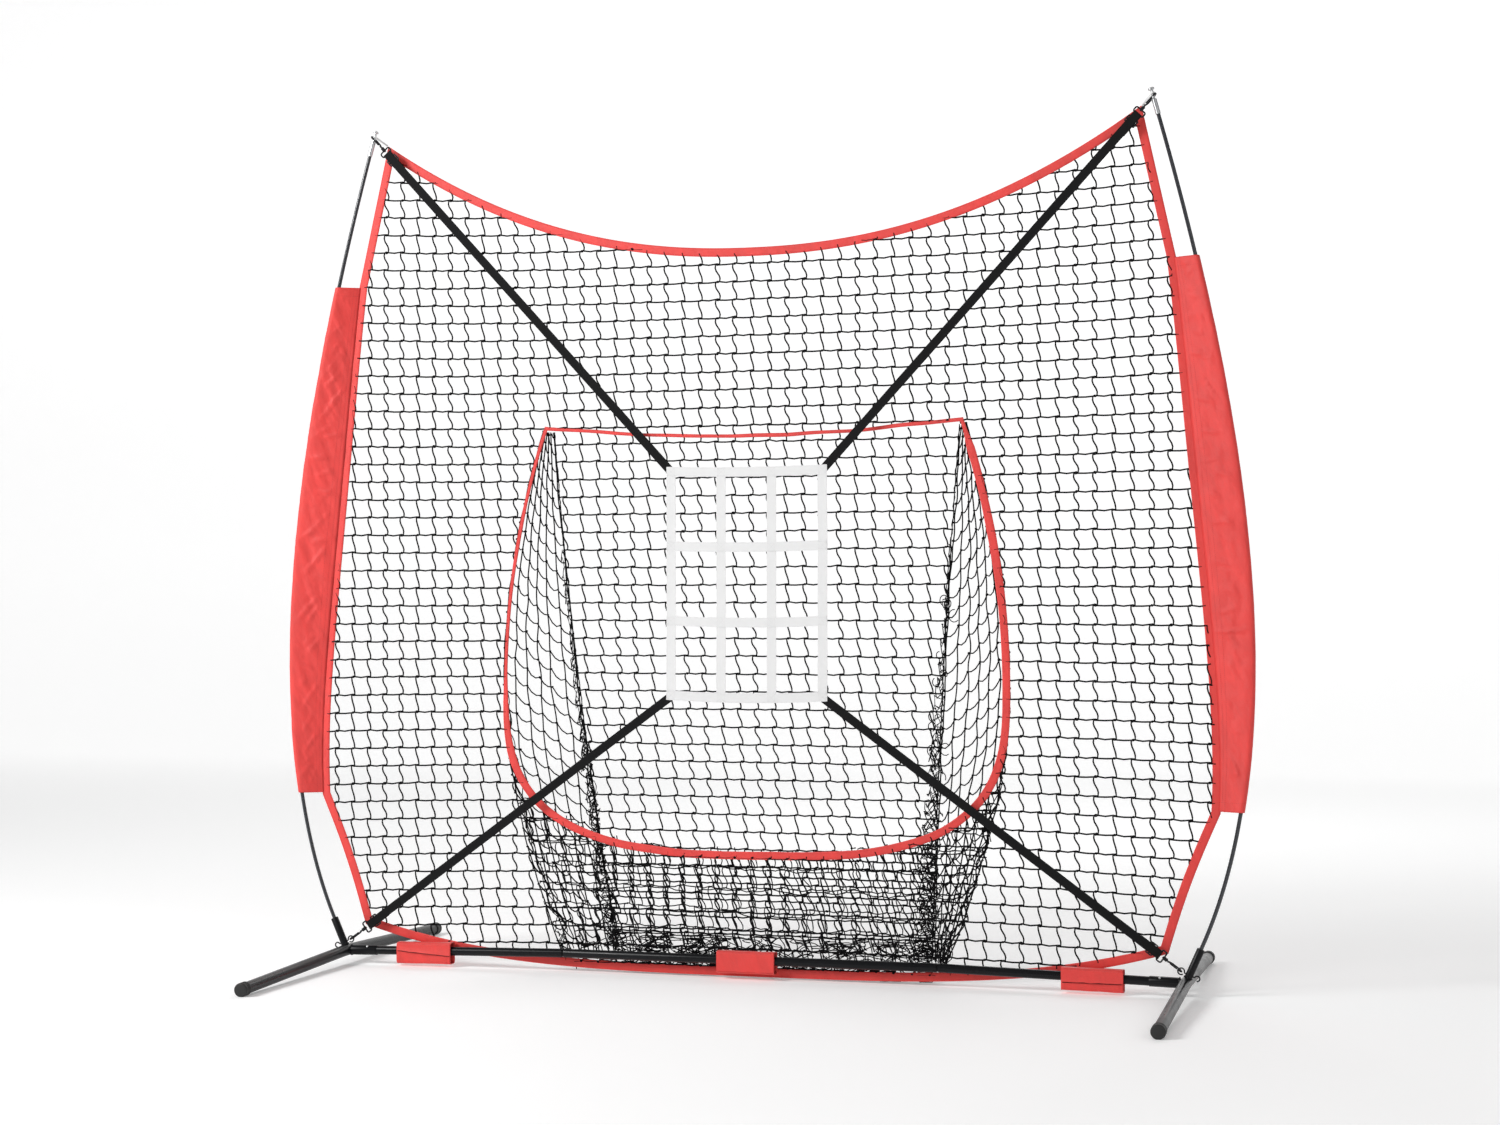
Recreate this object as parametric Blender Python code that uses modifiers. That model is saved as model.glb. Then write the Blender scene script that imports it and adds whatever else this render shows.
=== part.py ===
"""Pitching target net: two bowed poles stand in a steel base and stretch a net.

Metres, +Z up. The origin is on the floor under the middle of the crossbar. A pitcher
stands at -Y and the catch pocket hangs on the +Y side. "left" is -X.
"""
import math

import bmesh
import bpy
from mathutils import Matrix, Vector

# Clearances
GAP = 0.0003                # between pieces that touch, are welded or are sewn together
RUNNING_GAP = 0.0004        # radial room of a swivelling or sliding pin

# Overall
FRAME_WIDTH = 2.140         # between the axes of the two feet
FRAME_HEIGHT = 2.147        # floor to the top of the pole tips
FOOT_LENGTH = 1.180

# Steel base
FOOT_OD = 0.029
TUBE_WALL = 0.0012
FOOT_RISE = 0.0181          # how far the bent middle of a foot stands above its ends
FOOT_BEND = 0.030           # half the length of that bend
CAP_WALL = 0.0020
CAP_LENGTH = 0.028
CAP_FLOOR = 0.003
SOLE_DEPTH = 0.0009         # the cap's round underside is flattened by this much
BAR_OD = 0.022
BAR_RISE = 0.013            # the middle of the crossbar above its ends
BAR_JOINT_X = 0.480         # where the side tubes of the crossbar meet the middle tube
BAR_SWAGE = 0.050           # length of the swaged ends
BAR_INSERT = 0.045          # length of crossbar inside a stub
STUB_WALL = 0.0013
STUB_REACH = 0.085          # from the foot's axis
SOCKET_OD = 0.019
SOCKET_WALL = 0.0015
SOCKET_REACH = 0.088        # from the foot's axis
SOCKET_LEAN = math.radians(24)
ANCHOR_WIRE = 0.0035        # diameter
ANCHOR_ABOVE_FOOT = 0.0065  # along the socket, from the foot's surface
ANCHOR_EYE = 0.012          # inside diameter of the eye
ANCHOR_CURL = 0.009         # inside diameter of the open hook on the outboard side
BUTTON_OD = 0.006
BUTTON_PROUD = 0.003        # above the stub, and its travel
BUTTON_ANGLE = math.radians(50)
BUTTON_SETBACK = 0.025      # from the stub's mouth
LEAF_LENGTH = 0.030
LEAF_WIDTH = 0.007
LEAF_THICKNESS = 0.0008

# Poles
POLE_OD = 0.0096
POLE_FERRULE_WALL = 0.0012
POLE_FERRULE_LENGTH = 0.080
POLE_LOWER_HANDLE = 0.28    # length of the bow's end handles, as shares of the chord
POLE_UPPER_HANDLE = 0.36
POLE_STATION = 0.075        # spacing of the points along a pole
TIP_INSET = 0.075           # pole tip inboard of the foot's axis
TIP_LEAN = math.radians(15.5)
TIP_HEAD_OD = 0.016
TIP_HEAD_LENGTH = 0.006
TIP_NECK_OD = 0.0075
TIP_NECK_LENGTH = 0.022
TIP_WALL = 0.0014           # of the tip's ferrule
TIP_FERRULE_LENGTH = 0.038
TIP_BORE_DEPTH = 0.028

# Net, sleeves and tabs
NET_Y = 0.022               # plane of the net behind the poles
NET_THICKNESS = 0.002
BINDING_WIDTH = 0.022
BINDING_THICKNESS = 0.004
TOP_CORNER_INSET = 0.114    # net's upper corner inboard of the foot's axis
TOP_CORNER_DROP = 0.072     # and below the top of the tips
TOP_SAG = 0.287
TOP_SAG_POWER = 2.2
BOTTOM_CORNER_INSET = 0.060
BOTTOM_CORNER_Z = 0.116
BOTTOM_MIDDLE_Z = 0.026
BOTTOM_POWER = 3.4
LOWER_SIDE_HOLLOW = 0.007   # how far the bound edge below a sleeve curves inboard
SLEEVE_BOTTOM_Z = 0.436
SLEEVE_TOP_DROP = 0.402
SLEEVE_WIDTH_END = 0.070    # pole axis to the sleeve's inner edge
SLEEVE_BELLY = 0.046        # extra width half way up
SLEEVE_POLE_ROOM = 0.010    # radius of the sleeve around the pole
SLEEVE_WALL = 0.0012
SLEEVE_SEAM_GAP = 0.0008    # between the sleeve's inner edge and the binding
SLEEVE_LEVELS = 12
TAB_LENGTH = 0.150
TAB_X = 0.852
TAB_BAR_ROOM = 0.004        # between a tab's front and the crossbar
TAB_NET_ROOM = 0.0025       # and between its back and the binding
TAB_DROP = 0.0330
TAB_RAISE = 0.0230
TAB_WALL = 0.0015
LOOP_HEIGHT = 0.004
LOOP_THICKNESS = 0.001
LOOP_ROOM = 0.0014
LOOP_LEVEL = 0.62           # share of the neck's length, where the loop lies
HOOK_LEVEL = 0.30           # and where a strap's hook lies

# Catch pocket
MOUTH_HALF_WIDTH = 0.643
MOUTH_WIDEST_Z = 0.720
MOUTH_SILL_Z = 0.302
MOUTH_TOP_DROP = 0.775
MOUTH_TOP_HALF_WIDTH = 0.535
MOUTH_TOP_SAG = 0.030
MOUTH_POWER = 3.0
POCKET_FLOOR_Z = 0.012
POCKET_FLOOR_HALF_WIDTH = 0.470
POCKET_BACK_HALF_WIDTH = 0.418
POCKET_BACK_TOP_HALF_WIDTH = 0.528
POCKET_TOP_DEPTH = 0.040
POCKET_DEPTH = 0.240
POCKET_WALL = 0.002

# Strike-zone target
TARGET_WIDTH = 0.412
TARGET_HEIGHT = 0.580
TARGET_CENTRE_Z = 0.976
TARGET_TAPE = 0.024
TARGET_CELLS = 3
TARGET_THICKNESS = 0.0018

# Straps and snap hooks
STRAP_WIDTH = 0.022
STRAP_THICKNESS = 0.0016
STRAP_LAP = 0.020           # strap behind the target's corner
STRAP_RETURN = 0.060        # length of the layer that is turned back at the ring
HOOK_WIRE = 0.0045
HOOK_HALF_WIDTH = 0.0065    # inside
HOOK_LENGTH = 0.024         # inside the bight, centre of the bight to the shoulder
HOOK_STEM = 0.004
HOOK_SHOULDER = 0.008       # from the shoulder to the barrel
BARREL_OD = 0.009
BARREL_LENGTH = 0.010
RIVET_OD = 0.0066
RIVET_HEIGHT = 0.0015
RING_WIRE = 0.004
RING_LENGTH = 0.011         # inside
GATE_WIRE = 0.0036
GATE_NOSE_GAP = 0.0008
SLIDER_LENGTH = 0.020
SLIDER_THICKNESS = 0.0026
SLIDER_FRAME = 0.0034
SLIDER_SIDE_ROOM = 0.0012
SLIDER_FROM_RING = 0.012

# Values that follow from the ones above
HALF_WIDTH = FRAME_WIDTH / 2
STUB_OD = BAR_OD + 2 * (GAP + STUB_WALL)
ANCHOR_HEIGHT = FOOT_OD / 2 + ANCHOR_ABOVE_FOOT
TIP_OD = POLE_OD + 2 * (GAP + TIP_WALL)
TAB_FRONT = BAR_OD / 2 + TAB_BAR_ROOM
TAB_BACK = NET_Y - BINDING_THICKNESS / 2 - TAB_NET_ROOM
CAP_RADIUS = FOOT_OD / 2 + GAP + CAP_WALL
FOOT_END_Z = CAP_RADIUS - SOLE_DEPTH
JUNCTION_Z = FOOT_END_Z + FOOT_RISE
BAR_Z = JUNCTION_Z + BAR_RISE
BAR_SLOPE = math.atan2(BAR_RISE, HALF_WIDTH - BAR_JOINT_X)
SLEEVE_TOP_Z = FRAME_HEIGHT - SLEEVE_TOP_DROP
MOUTH_TOP_Z = FRAME_HEIGHT - MOUTH_TOP_DROP
TIP_LENGTH = TIP_HEAD_LENGTH + TIP_NECK_LENGTH + TIP_FERRULE_LENGTH
STRAP_Y = RING_WIRE / 2 + GAP + STRAP_THICKNESS / 2
TARGET_Y = -STRAP_Y - STRAP_THICKNESS / 2 - GAP - TARGET_THICKNESS / 2
SIDES = {"left": -1, "right": 1}

UP = Vector((0, 0, 1))
INTO = Vector((0, 1, 0))


def new_material(name, colour, roughness, metallic=0.0):
    material = bpy.data.materials.new(name)
    material.use_nodes = True
    shader = material.node_tree.nodes["Principled BSDF"]
    shader.inputs["Base Color"].default_value = (*colour, 1.0)
    shader.inputs["Roughness"].default_value = roughness
    shader.inputs["Metallic"].default_value = metallic
    material.diffuse_color = (*colour, 1.0)
    return material


# Objects and modifiers

def collection(name):
    found = bpy.data.collections.get(name)
    if found is None:
        found = bpy.data.collections.new(name)
        bpy.context.scene.collection.children.link(found)
    return found


def add_object(name, data, matrix=None):
    obj = bpy.data.objects.new(name, data)
    collection("pitching_target_net").objects.link(obj)
    if matrix is not None:
        obj.matrix_world = matrix
    return obj


def helper(obj):
    """Turn an object into a cutter or a joined shape, which isn't a piece by itself."""
    for owner in list(obj.users_collection):
        owner.objects.unlink(obj)
    collection("cutters").objects.link(obj)
    obj.hide_render = True
    obj.display_type = "WIRE"
    return obj


def combine(obj, other, operation):
    modifier = obj.modifiers.new(operation.lower(), "BOOLEAN")
    modifier.operation = operation
    modifier.solver = "EXACT"
    modifier.object = helper(other)
    return obj


def cut(obj, *cutters):
    for cutter in cutters:
        combine(obj, cutter, "DIFFERENCE")
    return obj


def join(obj, *others):
    for other in others:
        combine(obj, other, "UNION")
    return obj


def dress(obj, material):
    """Give a finished piece its material and smooth shading."""
    obj.data.materials.clear()
    obj.data.materials.append(material)
    if obj.type == "MESH":
        obj.data.shade_smooth()
        obj.data.set_sharp_from_angle(angle=math.radians(35))
    return obj


# Shapes

def along(start, end):
    """Matrix at start whose local Z points to end, with local Y kept near world +Y."""
    z_axis = (end - start).normalized()
    hint = INTO if abs(z_axis.dot(INTO)) < 0.9 else UP
    x_axis = hint.cross(z_axis).normalized()
    y_axis = z_axis.cross(x_axis)
    rotation = Matrix((x_axis, y_axis, z_axis)).transposed().to_4x4()
    return Matrix.Translation(start) @ rotation


def mesh_object(name, mesh_maker, matrix=None):
    mesh = bpy.data.meshes.new(name)
    shape = bmesh.new()
    mesh_maker(shape)
    shape.to_mesh(mesh)
    shape.free()
    return add_object(name, mesh, matrix)


def cylinder(name, start, end, radius, segments=20):
    """Solid rod from start to end."""
    start, end = Vector(start), Vector(end)
    length = (end - start).length

    def make(shape):
        bmesh.ops.create_cone(
            shape, cap_ends=True, segments=segments, radius1=radius, radius2=radius, depth=length,
            matrix=Matrix.Translation((0, 0, length / 2)),
        )

    return mesh_object(name, make, along(start, end))


def box(name, size, matrix):
    def make(shape):
        bmesh.ops.create_cube(shape, size=1.0, matrix=Matrix.Diagonal((*size, 1.0)))

    return mesh_object(name, make, matrix)


def curve_data(name, outlines, cyclic, flat=False, radii=None):
    data = bpy.data.curves.new(name, "CURVE")
    data.dimensions = "2D" if flat else "3D"
    for outline in outlines:
        spline = data.splines.new("POLY")
        spline.points.add(len(outline) - 1)
        for index, place in enumerate(outline):
            co = (*place, 0.0) if flat else tuple(place)
            spline.points[index].co = (*co, 1.0)
            spline.points[index].radius = radii[index] if radii else 1.0
        spline.use_cyclic_u = cyclic
    return data


def wire(name, points, radius, sides=8, cyclic=False, matrix=None):
    """Round wire or rod along points, with filled ends."""
    data = curve_data(name, [points], cyclic)
    data.bevel_depth = radius
    data.bevel_resolution = sides // 2 - 2
    data.use_fill_caps = not cyclic
    return add_object(name, data, matrix)


def plate(name, outlines, thickness, matrix=None):
    """Flat sheet from closed outlines; the outlines inside the first are holes."""
    data = curve_data(name, outlines, cyclic=True, flat=True)
    data.fill_mode = "BOTH"
    data.extrude = thickness / 2
    return add_object(name, data, matrix)


def to_mesh(curve_object):
    """Replace a curve object by the welded mesh of the same shape."""
    bpy.context.view_layer.update()
    graph = bpy.context.evaluated_depsgraph_get()
    mesh = bpy.data.meshes.new_from_object(curve_object.evaluated_get(graph))
    shape = bmesh.new()
    shape.from_mesh(mesh)
    bmesh.ops.remove_doubles(shape, verts=shape.verts, dist=0.00001)
    shape.to_mesh(mesh)
    shape.free()
    name = curve_object.name
    matrix = curve_object.matrix_world.copy()
    bpy.data.objects.remove(curve_object)
    mesh.name = name
    return add_object(name, mesh, matrix)


def tube(name, points, radius, wall, sides=16, radii=None):
    """Open-ended tube along points."""
    data = curve_data(name, [points], cyclic=False, radii=radii)
    data.bevel_depth = radius
    data.bevel_resolution = sides // 2 - 2
    obj = to_mesh(add_object(name, data))
    shell = obj.modifiers.new("wall", "SOLIDIFY")
    shell.thickness = wall
    shell.offset = -1.0
    shell.use_even_offset = True
    return obj


def turned(name, profile, matrix, segments=16):
    """Solid of revolution about local Z; the profile runs down its outer side."""
    mesh = bpy.data.meshes.new(name)
    edges = [(index, index + 1) for index in range(len(profile) - 1)]
    mesh.from_pydata([(radius, 0.0, height) for radius, height in profile], edges, [])
    obj = add_object(name, mesh, matrix)
    screw = obj.modifiers.new("turn", "SCREW")
    screw.steps = segments
    screw.render_steps = segments
    screw.use_merge_vertices = True
    screw.merge_threshold = 0.00001
    return obj


def loft(name, rings, closed_ends):
    """Skin over equal rings of points, each ring closed on itself."""
    def make(shape):
        rows = [[shape.verts.new(place) for place in ring] for ring in rings]
        count = len(rows[0])
        for lower, upper in zip(rows, rows[1:]):
            for index in range(count):
                after = (index + 1) % count
                shape.faces.new((lower[index], lower[after], upper[after], upper[index]))
        if closed_ends:
            shape.faces.new(rows[0][::-1])
            shape.faces.new(rows[-1])
        bmesh.ops.recalc_face_normals(shape, faces=shape.faces)

    return mesh_object(name, make)


def arc(centre, radius, start, end, steps):
    """Points of an arc in the plane, angles in radians, both ends included."""
    turn = [start + (end - start) * step / steps for step in range(steps + 1)]
    return [(centre[0] + radius * math.cos(a), centre[1] + radius * math.sin(a)) for a in turn]


def offset_outline(points, distance):
    """Move a closed anticlockwise outline outwards by distance, with mitred corners."""
    moved = []
    for index, place in enumerate(points):
        here = Vector(place)
        into = (here - Vector(points[index - 1])).normalized()
        out = (Vector(points[(index + 1) % len(points)]) - here).normalized()
        normal_in = Vector((into.y, -into.x))
        normal_out = Vector((out.y, -out.x))
        mitre = (normal_in + normal_out).normalized()
        moved.append(tuple(here + mitre * (distance / mitre.dot(normal_in))))
    return moved


# The pole's centre line, in the XZ plane, as (distance inboard to outboard, height)

def junction(side):
    """Where the axes of foot, stub and socket meet."""
    return Vector((side * HALF_WIDTH, 0, JUNCTION_Z))


def socket_axis(side):
    return Vector((side * math.sin(SOCKET_LEAN), 0, math.cos(SOCKET_LEAN)))


def tip_axis(side):
    return Vector((-side * math.sin(TIP_LEAN), 0, math.cos(TIP_LEAN)))


def tip_top(side):
    return Vector((side * (HALF_WIDTH - TIP_INSET), 0, FRAME_HEIGHT))


def tip_foot(side):
    """Lower end of the metal tip."""
    return tip_top(side) - tip_axis(side) * TIP_LENGTH


def pole_line(side):
    """Points from the bottom of the pole, in its socket, to its top, in the tip."""
    bottom = junction(side) + socket_axis(side) * (ANCHOR_HEIGHT + ANCHOR_WIRE / 2 + GAP)
    mouth = junction(side) + socket_axis(side) * SOCKET_REACH
    collar = tip_foot(side)
    chord = (collar - mouth).length
    first = mouth + socket_axis(side) * chord * POLE_LOWER_HANDLE
    second = collar - tip_axis(side) * chord * POLE_UPPER_HANDLE
    steps = round(chord / POLE_STATION)
    bow = []
    for step in range(steps + 1):
        t = step / steps
        bow.append(
            mouth * (1 - t) ** 3 + first * 3 * t * (1 - t) ** 2
            + second * 3 * t * t * (1 - t) + collar * t ** 3
        )
    top = collar + tip_axis(side) * (TIP_BORE_DEPTH - GAP)
    return [bottom, *bow, top]


def pole_x(height):
    """Outward distance of the pole's axis at a height."""
    line = pole_line(1)
    for below, above in zip(line, line[1:]):
        if height <= above.z:
            share = (height - below.z) / (above.z - below.z)
            return below.x + (above.x - below.x) * share
    return line[-1].x


def part_of_line(line, start, end):
    """The stretch of a polyline between two distances along it."""
    travelled = 0.0
    points = []
    for here, after in zip(line, line[1:]):
        length = (after - here).length
        for place in (start, end):
            if travelled <= place < travelled + length:
                points.append(here.lerp(after, (place - travelled) / length))
        if start < travelled + length < end:
            points.append(after)
        travelled += length
    return points


def line_length(line):
    return sum((after - here).length for here, after in zip(line, line[1:]))


# Outlines in the plane of the net, as (x, height)

def side_of_net(height):
    """Outward distance of the net's side edge at a height."""
    if height > SLEEVE_TOP_Z:
        share = (height - SLEEVE_TOP_Z) / (FRAME_HEIGHT - TOP_CORNER_DROP - SLEEVE_TOP_Z)
        start = pole_x(SLEEVE_TOP_Z) - SLEEVE_WIDTH_END
        return start + (HALF_WIDTH - TOP_CORNER_INSET - start) * share
    if height < SLEEVE_BOTTOM_Z:
        share = (SLEEVE_BOTTOM_Z - height) / (SLEEVE_BOTTOM_Z - BOTTOM_CORNER_Z)
        start = pole_x(SLEEVE_BOTTOM_Z) - SLEEVE_WIDTH_END
        straight = start + (HALF_WIDTH - BOTTOM_CORNER_INSET - start) * share
        return straight - LOWER_SIDE_HOLLOW * math.sin(math.pi * share)
    share = (height - SLEEVE_BOTTOM_Z) / (SLEEVE_TOP_Z - SLEEVE_BOTTOM_Z)
    return pole_x(height) - SLEEVE_WIDTH_END - SLEEVE_BELLY * math.sin(math.pi * share)


def sleeve_levels():
    rise = (SLEEVE_TOP_Z - SLEEVE_BOTTOM_Z) / SLEEVE_LEVELS
    return [SLEEVE_BOTTOM_Z + rise * step for step in range(SLEEVE_LEVELS + 1)]


def top_of_net(x):
    corner_x = HALF_WIDTH - TOP_CORNER_INSET
    corner_z = FRAME_HEIGHT - TOP_CORNER_DROP
    return corner_z - TOP_SAG * (1 - abs(x / corner_x) ** TOP_SAG_POWER)


def bottom_of_net(x):
    corner_x = HALF_WIDTH - BOTTOM_CORNER_INSET
    return BOTTOM_MIDDLE_Z + (BOTTOM_CORNER_Z - BOTTOM_MIDDLE_Z) * abs(x / corner_x) ** BOTTOM_POWER


def net_outline():
    """Anticlockwise outline of the netting, from the middle of its bottom edge."""
    bottom_x = HALF_WIDTH - BOTTOM_CORNER_INSET
    top_x = HALF_WIDTH - TOP_CORNER_INSET
    half = [(bottom_x * step / 10, bottom_of_net(bottom_x * step / 10)) for step in range(11)]
    levels = [BOTTOM_CORNER_Z + (SLEEVE_BOTTOM_Z - BOTTOM_CORNER_Z) * step / 4 for step in (1, 2, 3)]
    levels += sleeve_levels()
    half += [(side_of_net(level), level) for level in levels]
    half += [(top_x * step / 10, top_of_net(top_x * step / 10)) for step in range(10, -1, -1)]
    return half + [(-x, z) for x, z in reversed(half[1:-1])]


def binding_edge(height):
    """Outward distance of the binding's outer edge at a height on the right-hand side."""
    outline = offset_outline(net_outline(), BINDING_WIDTH)
    for below, above in zip(outline, outline[1:]):
        if below[0] > HALF_WIDTH / 2 and below[1] <= height <= above[1]:
            share = (height - below[1]) / (above[1] - below[1])
            return below[0] + (above[0] - below[0]) * share
    raise ValueError(f"no binding at height {height}")


def mouth_half_width(height):
    """Half the width of the pocket's mouth at a height above its widest level."""
    share = (height - MOUTH_WIDEST_Z) / (MOUTH_TOP_Z - MOUTH_WIDEST_Z)
    return MOUTH_HALF_WIDTH - (MOUTH_HALF_WIDTH - MOUTH_TOP_HALF_WIDTH) * share ** 2


def mouth_outline():
    """Anticlockwise outline of the pocket's mouth, along the middle of its binding."""
    rounding = 10
    half = []
    for step in range(rounding + 1):
        turn = math.pi / 2 * step / rounding
        x = MOUTH_HALF_WIDTH * math.sin(turn) ** (2 / MOUTH_POWER)
        drop = (MOUTH_WIDEST_Z - MOUTH_SILL_Z) * math.cos(turn) ** (2 / MOUTH_POWER)
        half.append((x, MOUTH_WIDEST_Z - drop))
    levels = [MOUTH_WIDEST_Z + (MOUTH_TOP_Z - MOUTH_WIDEST_Z) * step / 6 for step in range(1, 7)]
    half += [(mouth_half_width(level), level) for level in levels]
    for step in range(5, -1, -1):
        share = step / 6
        half.append((MOUTH_TOP_HALF_WIDTH * share, MOUTH_TOP_Z - MOUTH_TOP_SAG * (1 - share ** 2)))
    return half + [(-x, z) for x, z in reversed(half[1:-1])]


def net_plane():
    """Places an outline drawn in local XY upright in the plane of the net."""
    return Matrix.Translation((0, NET_Y, 0)) @ Matrix.Rotation(math.pi / 2, 4, "X")


# Steel base

def foot_line(side, length):
    """Centre line of a foot: two straight runs that meet in a low bend."""
    slope = FOOT_RISE / (FOOT_LENGTH / 2)
    bend_drop = slope * FOOT_BEND
    half = length / 2
    places = [
        (half, JUNCTION_Z - slope * half),
        (FOOT_BEND, JUNCTION_Z - bend_drop),
        (FOOT_BEND / 2, JUNCTION_Z - bend_drop * 0.6),
        (0, JUNCTION_Z - bend_drop * 0.5),
    ]
    back = [Vector((side * HALF_WIDTH, y, z)) for y, z in places]
    front = [Vector((place.x, -place.y, place.z)) for place in reversed(back[:-1])]
    return back + front


def foot_cutter(side):
    return to_mesh(wire("foot_cutter", foot_line(side, FOOT_LENGTH), FOOT_OD / 2 + GAP, sides=16))


def make_foot(name, side, steel):
    length = FOOT_LENGTH - 2 * (CAP_FLOOR + GAP)
    line = foot_line(side, length)
    dress(tube(f"foot_tube_{name}", line, FOOT_OD / 2, TUBE_WALL), steel)


def make_end_cap(name, side, end, rubber):
    """Cup over one end of a foot, with a flat sole where it stands on the floor."""
    line = foot_line(side, FOOT_LENGTH)
    outer = line[0] if end > 0 else line[-1]
    inner = line[1] if end > 0 else line[-2]
    inward = (inner - outer).normalized()
    cap = cylinder(name, outer, outer + inward * CAP_LENGTH, CAP_RADIUS)
    bore = cylinder(
        name + "_bore", outer + inward * CAP_FLOOR, outer + inward * (CAP_LENGTH + CAP_FLOOR),
        FOOT_OD / 2 + GAP,
    )
    sole_size = (0.1, 0.1, 0.05)
    sole = box(name + "_sole", sole_size, Matrix.Translation((outer.x, outer.y, -sole_size[2] / 2)))
    dress(cut(cap, bore, sole), rubber)


def bar_direction(side):
    """Along a stub and a side tube of the crossbar, inboard."""
    return Vector((-side * math.cos(BAR_SLOPE), 0, math.sin(BAR_SLOPE)))


def button_frame(side):
    """Frame of a snap button: origin on the tube's axis, local Z out through the stub."""
    centre = junction(side) + bar_direction(side) * (STUB_REACH - BUTTON_SETBACK)
    out = Vector((0, -math.cos(BUTTON_ANGLE), math.sin(BUTTON_ANGLE)))
    x_axis = bar_direction(side)
    z_axis = (out - x_axis * out.dot(x_axis)).normalized()
    y_axis = z_axis.cross(x_axis)
    rotation = Matrix((x_axis, y_axis, z_axis)).transposed().to_4x4()
    return Matrix.Translation(centre) @ rotation


def button_hole(side):
    frame = button_frame(side)
    centre = frame.to_translation()
    out = frame.to_3x3() @ UP
    return cylinder("button_hole", centre, centre + out * STUB_OD, BUTTON_OD / 2 + RUNNING_GAP, 16)


def make_stub(name, side, steel):
    start = junction(side)
    end = start + bar_direction(side) * STUB_REACH
    stub = cylinder(f"stub_{name}", start, end, STUB_OD / 2)
    far = start + bar_direction(side) * (STUB_REACH + 0.01)
    bore = cylinder("stub_bore", start, far, BAR_OD / 2 + GAP)
    dress(cut(stub, bore, foot_cutter(side), button_hole(side)), steel)


def stub_cutter(side):
    """The stub and the gap round it, for a stub that stands taller than the foot."""
    start = junction(side)
    end = start + bar_direction(side) * STUB_REACH
    return cylinder("stub_cutter", start, end, STUB_OD / 2 + GAP)


def make_socket(name, side, steel, nylon):
    """Leaning tube that takes the pole, and the bush that centres the pole in it."""
    foot = junction(side)
    axis = socket_axis(side)
    mouth = foot + axis * SOCKET_REACH
    bore_radius = SOCKET_OD / 2 - SOCKET_WALL
    socket = cylinder(f"pole_socket_{name}", foot, mouth, SOCKET_OD / 2)
    bore = cylinder("socket_bore", foot, mouth + axis * 0.01, bore_radius)
    across = axis.cross(INTO)
    centre = foot + axis * ANCHOR_HEIGHT
    hole_radius = ANCHOR_WIRE / 2 + GAP
    hole = cylinder(
        "wire_hole", centre - across * SOCKET_OD, centre + across * SOCKET_OD, hole_radius, 12)
    dress(cut(socket, bore, foot_cutter(side), stub_cutter(side), hole), steel)
    bush_foot = foot + axis * (ANCHOR_HEIGHT + ANCHOR_WIRE / 2 + 2 * GAP)
    bush = cylinder(f"socket_bush_{name}", bush_foot, mouth, bore_radius - GAP)
    bush_bore = cylinder(
        "bush_bore", bush_foot - axis * 0.01, mouth + axis * 0.01, POLE_OD / 2 + GAP)
    dress(cut(bush, bush_bore), nylon)


def anchor_eye_centre(side):
    """Centre of the closed eye on the inboard side of a socket."""
    axis = socket_axis(side)
    inboard = Vector((-side * axis.z, 0, abs(axis.x)))
    reach = SOCKET_OD / 2 + GAP + ANCHOR_WIRE + (ANCHOR_EYE + ANCHOR_WIRE) / 2
    return junction(side) + axis * ANCHOR_HEIGHT + inboard * reach


def make_anchor_wire(name, side, steel):
    """Wire through the socket's foot: an eye inboard, an open hook outboard."""
    axis = socket_axis(side)
    inboard = Vector((-side * axis.z, 0, abs(axis.x)))
    start = junction(side) + axis * ANCHOR_HEIGHT
    eye_radius = (ANCHOR_EYE + ANCHOR_WIRE) / 2
    curl_radius = (ANCHOR_CURL + ANCHOR_WIRE) / 2
    eye_at = (anchor_eye_centre(side) - start).length
    curl_at = SOCKET_OD / 2 + GAP + ANCHOR_WIRE + curl_radius
    eye_turn = ANCHOR_WIRE / eye_radius + 0.15
    eye = arc((eye_at, 0), eye_radius, math.pi, -math.pi + eye_turn, 14)
    curl = arc((-curl_at, 0), curl_radius, math.pi * 1.45, 0, 9)
    places = curl + eye
    points = [start + inboard * across + axis * up for across, up in places]
    dress(to_mesh(wire(f"anchor_wire_{name}", points, ANCHOR_WIRE / 2)), steel)


def make_crossbar(steel):
    bore_radius = BAR_OD / 2 - TUBE_WALL
    joint = {side: Vector((side * BAR_JOINT_X, 0, BAR_Z)) for side in SIDES.values()}
    for name, side in SIDES.items():
        outer_end = junction(side) + bar_direction(side) * (STUB_REACH - BAR_INSERT)
        bar = tube(f"crossbar_{name}", [outer_end, joint[side]], BAR_OD / 2, TUBE_WALL)
        dress(cut(bar, button_hole(side)), steel)
    swage_radius = bore_radius - GAP
    share = swage_radius / (BAR_OD / 2)
    shoulder = 0.004
    half = []
    for distance, radius in ((BAR_SWAGE, share), (-GAP, share)):
        half.append((joint[1] - bar_direction(1) * distance, radius))
    half.append((joint[1] - Vector((shoulder, 0, 0)), 1.0))
    line = half + [(Vector((-p.x, p.y, p.z)), r) for p, r in reversed(half)]
    points = [place for place, _ in line]
    radii = [radius for _, radius in line]
    dress(tube("crossbar_middle", points, BAR_OD / 2, TUBE_WALL, radii=radii), steel)


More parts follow.
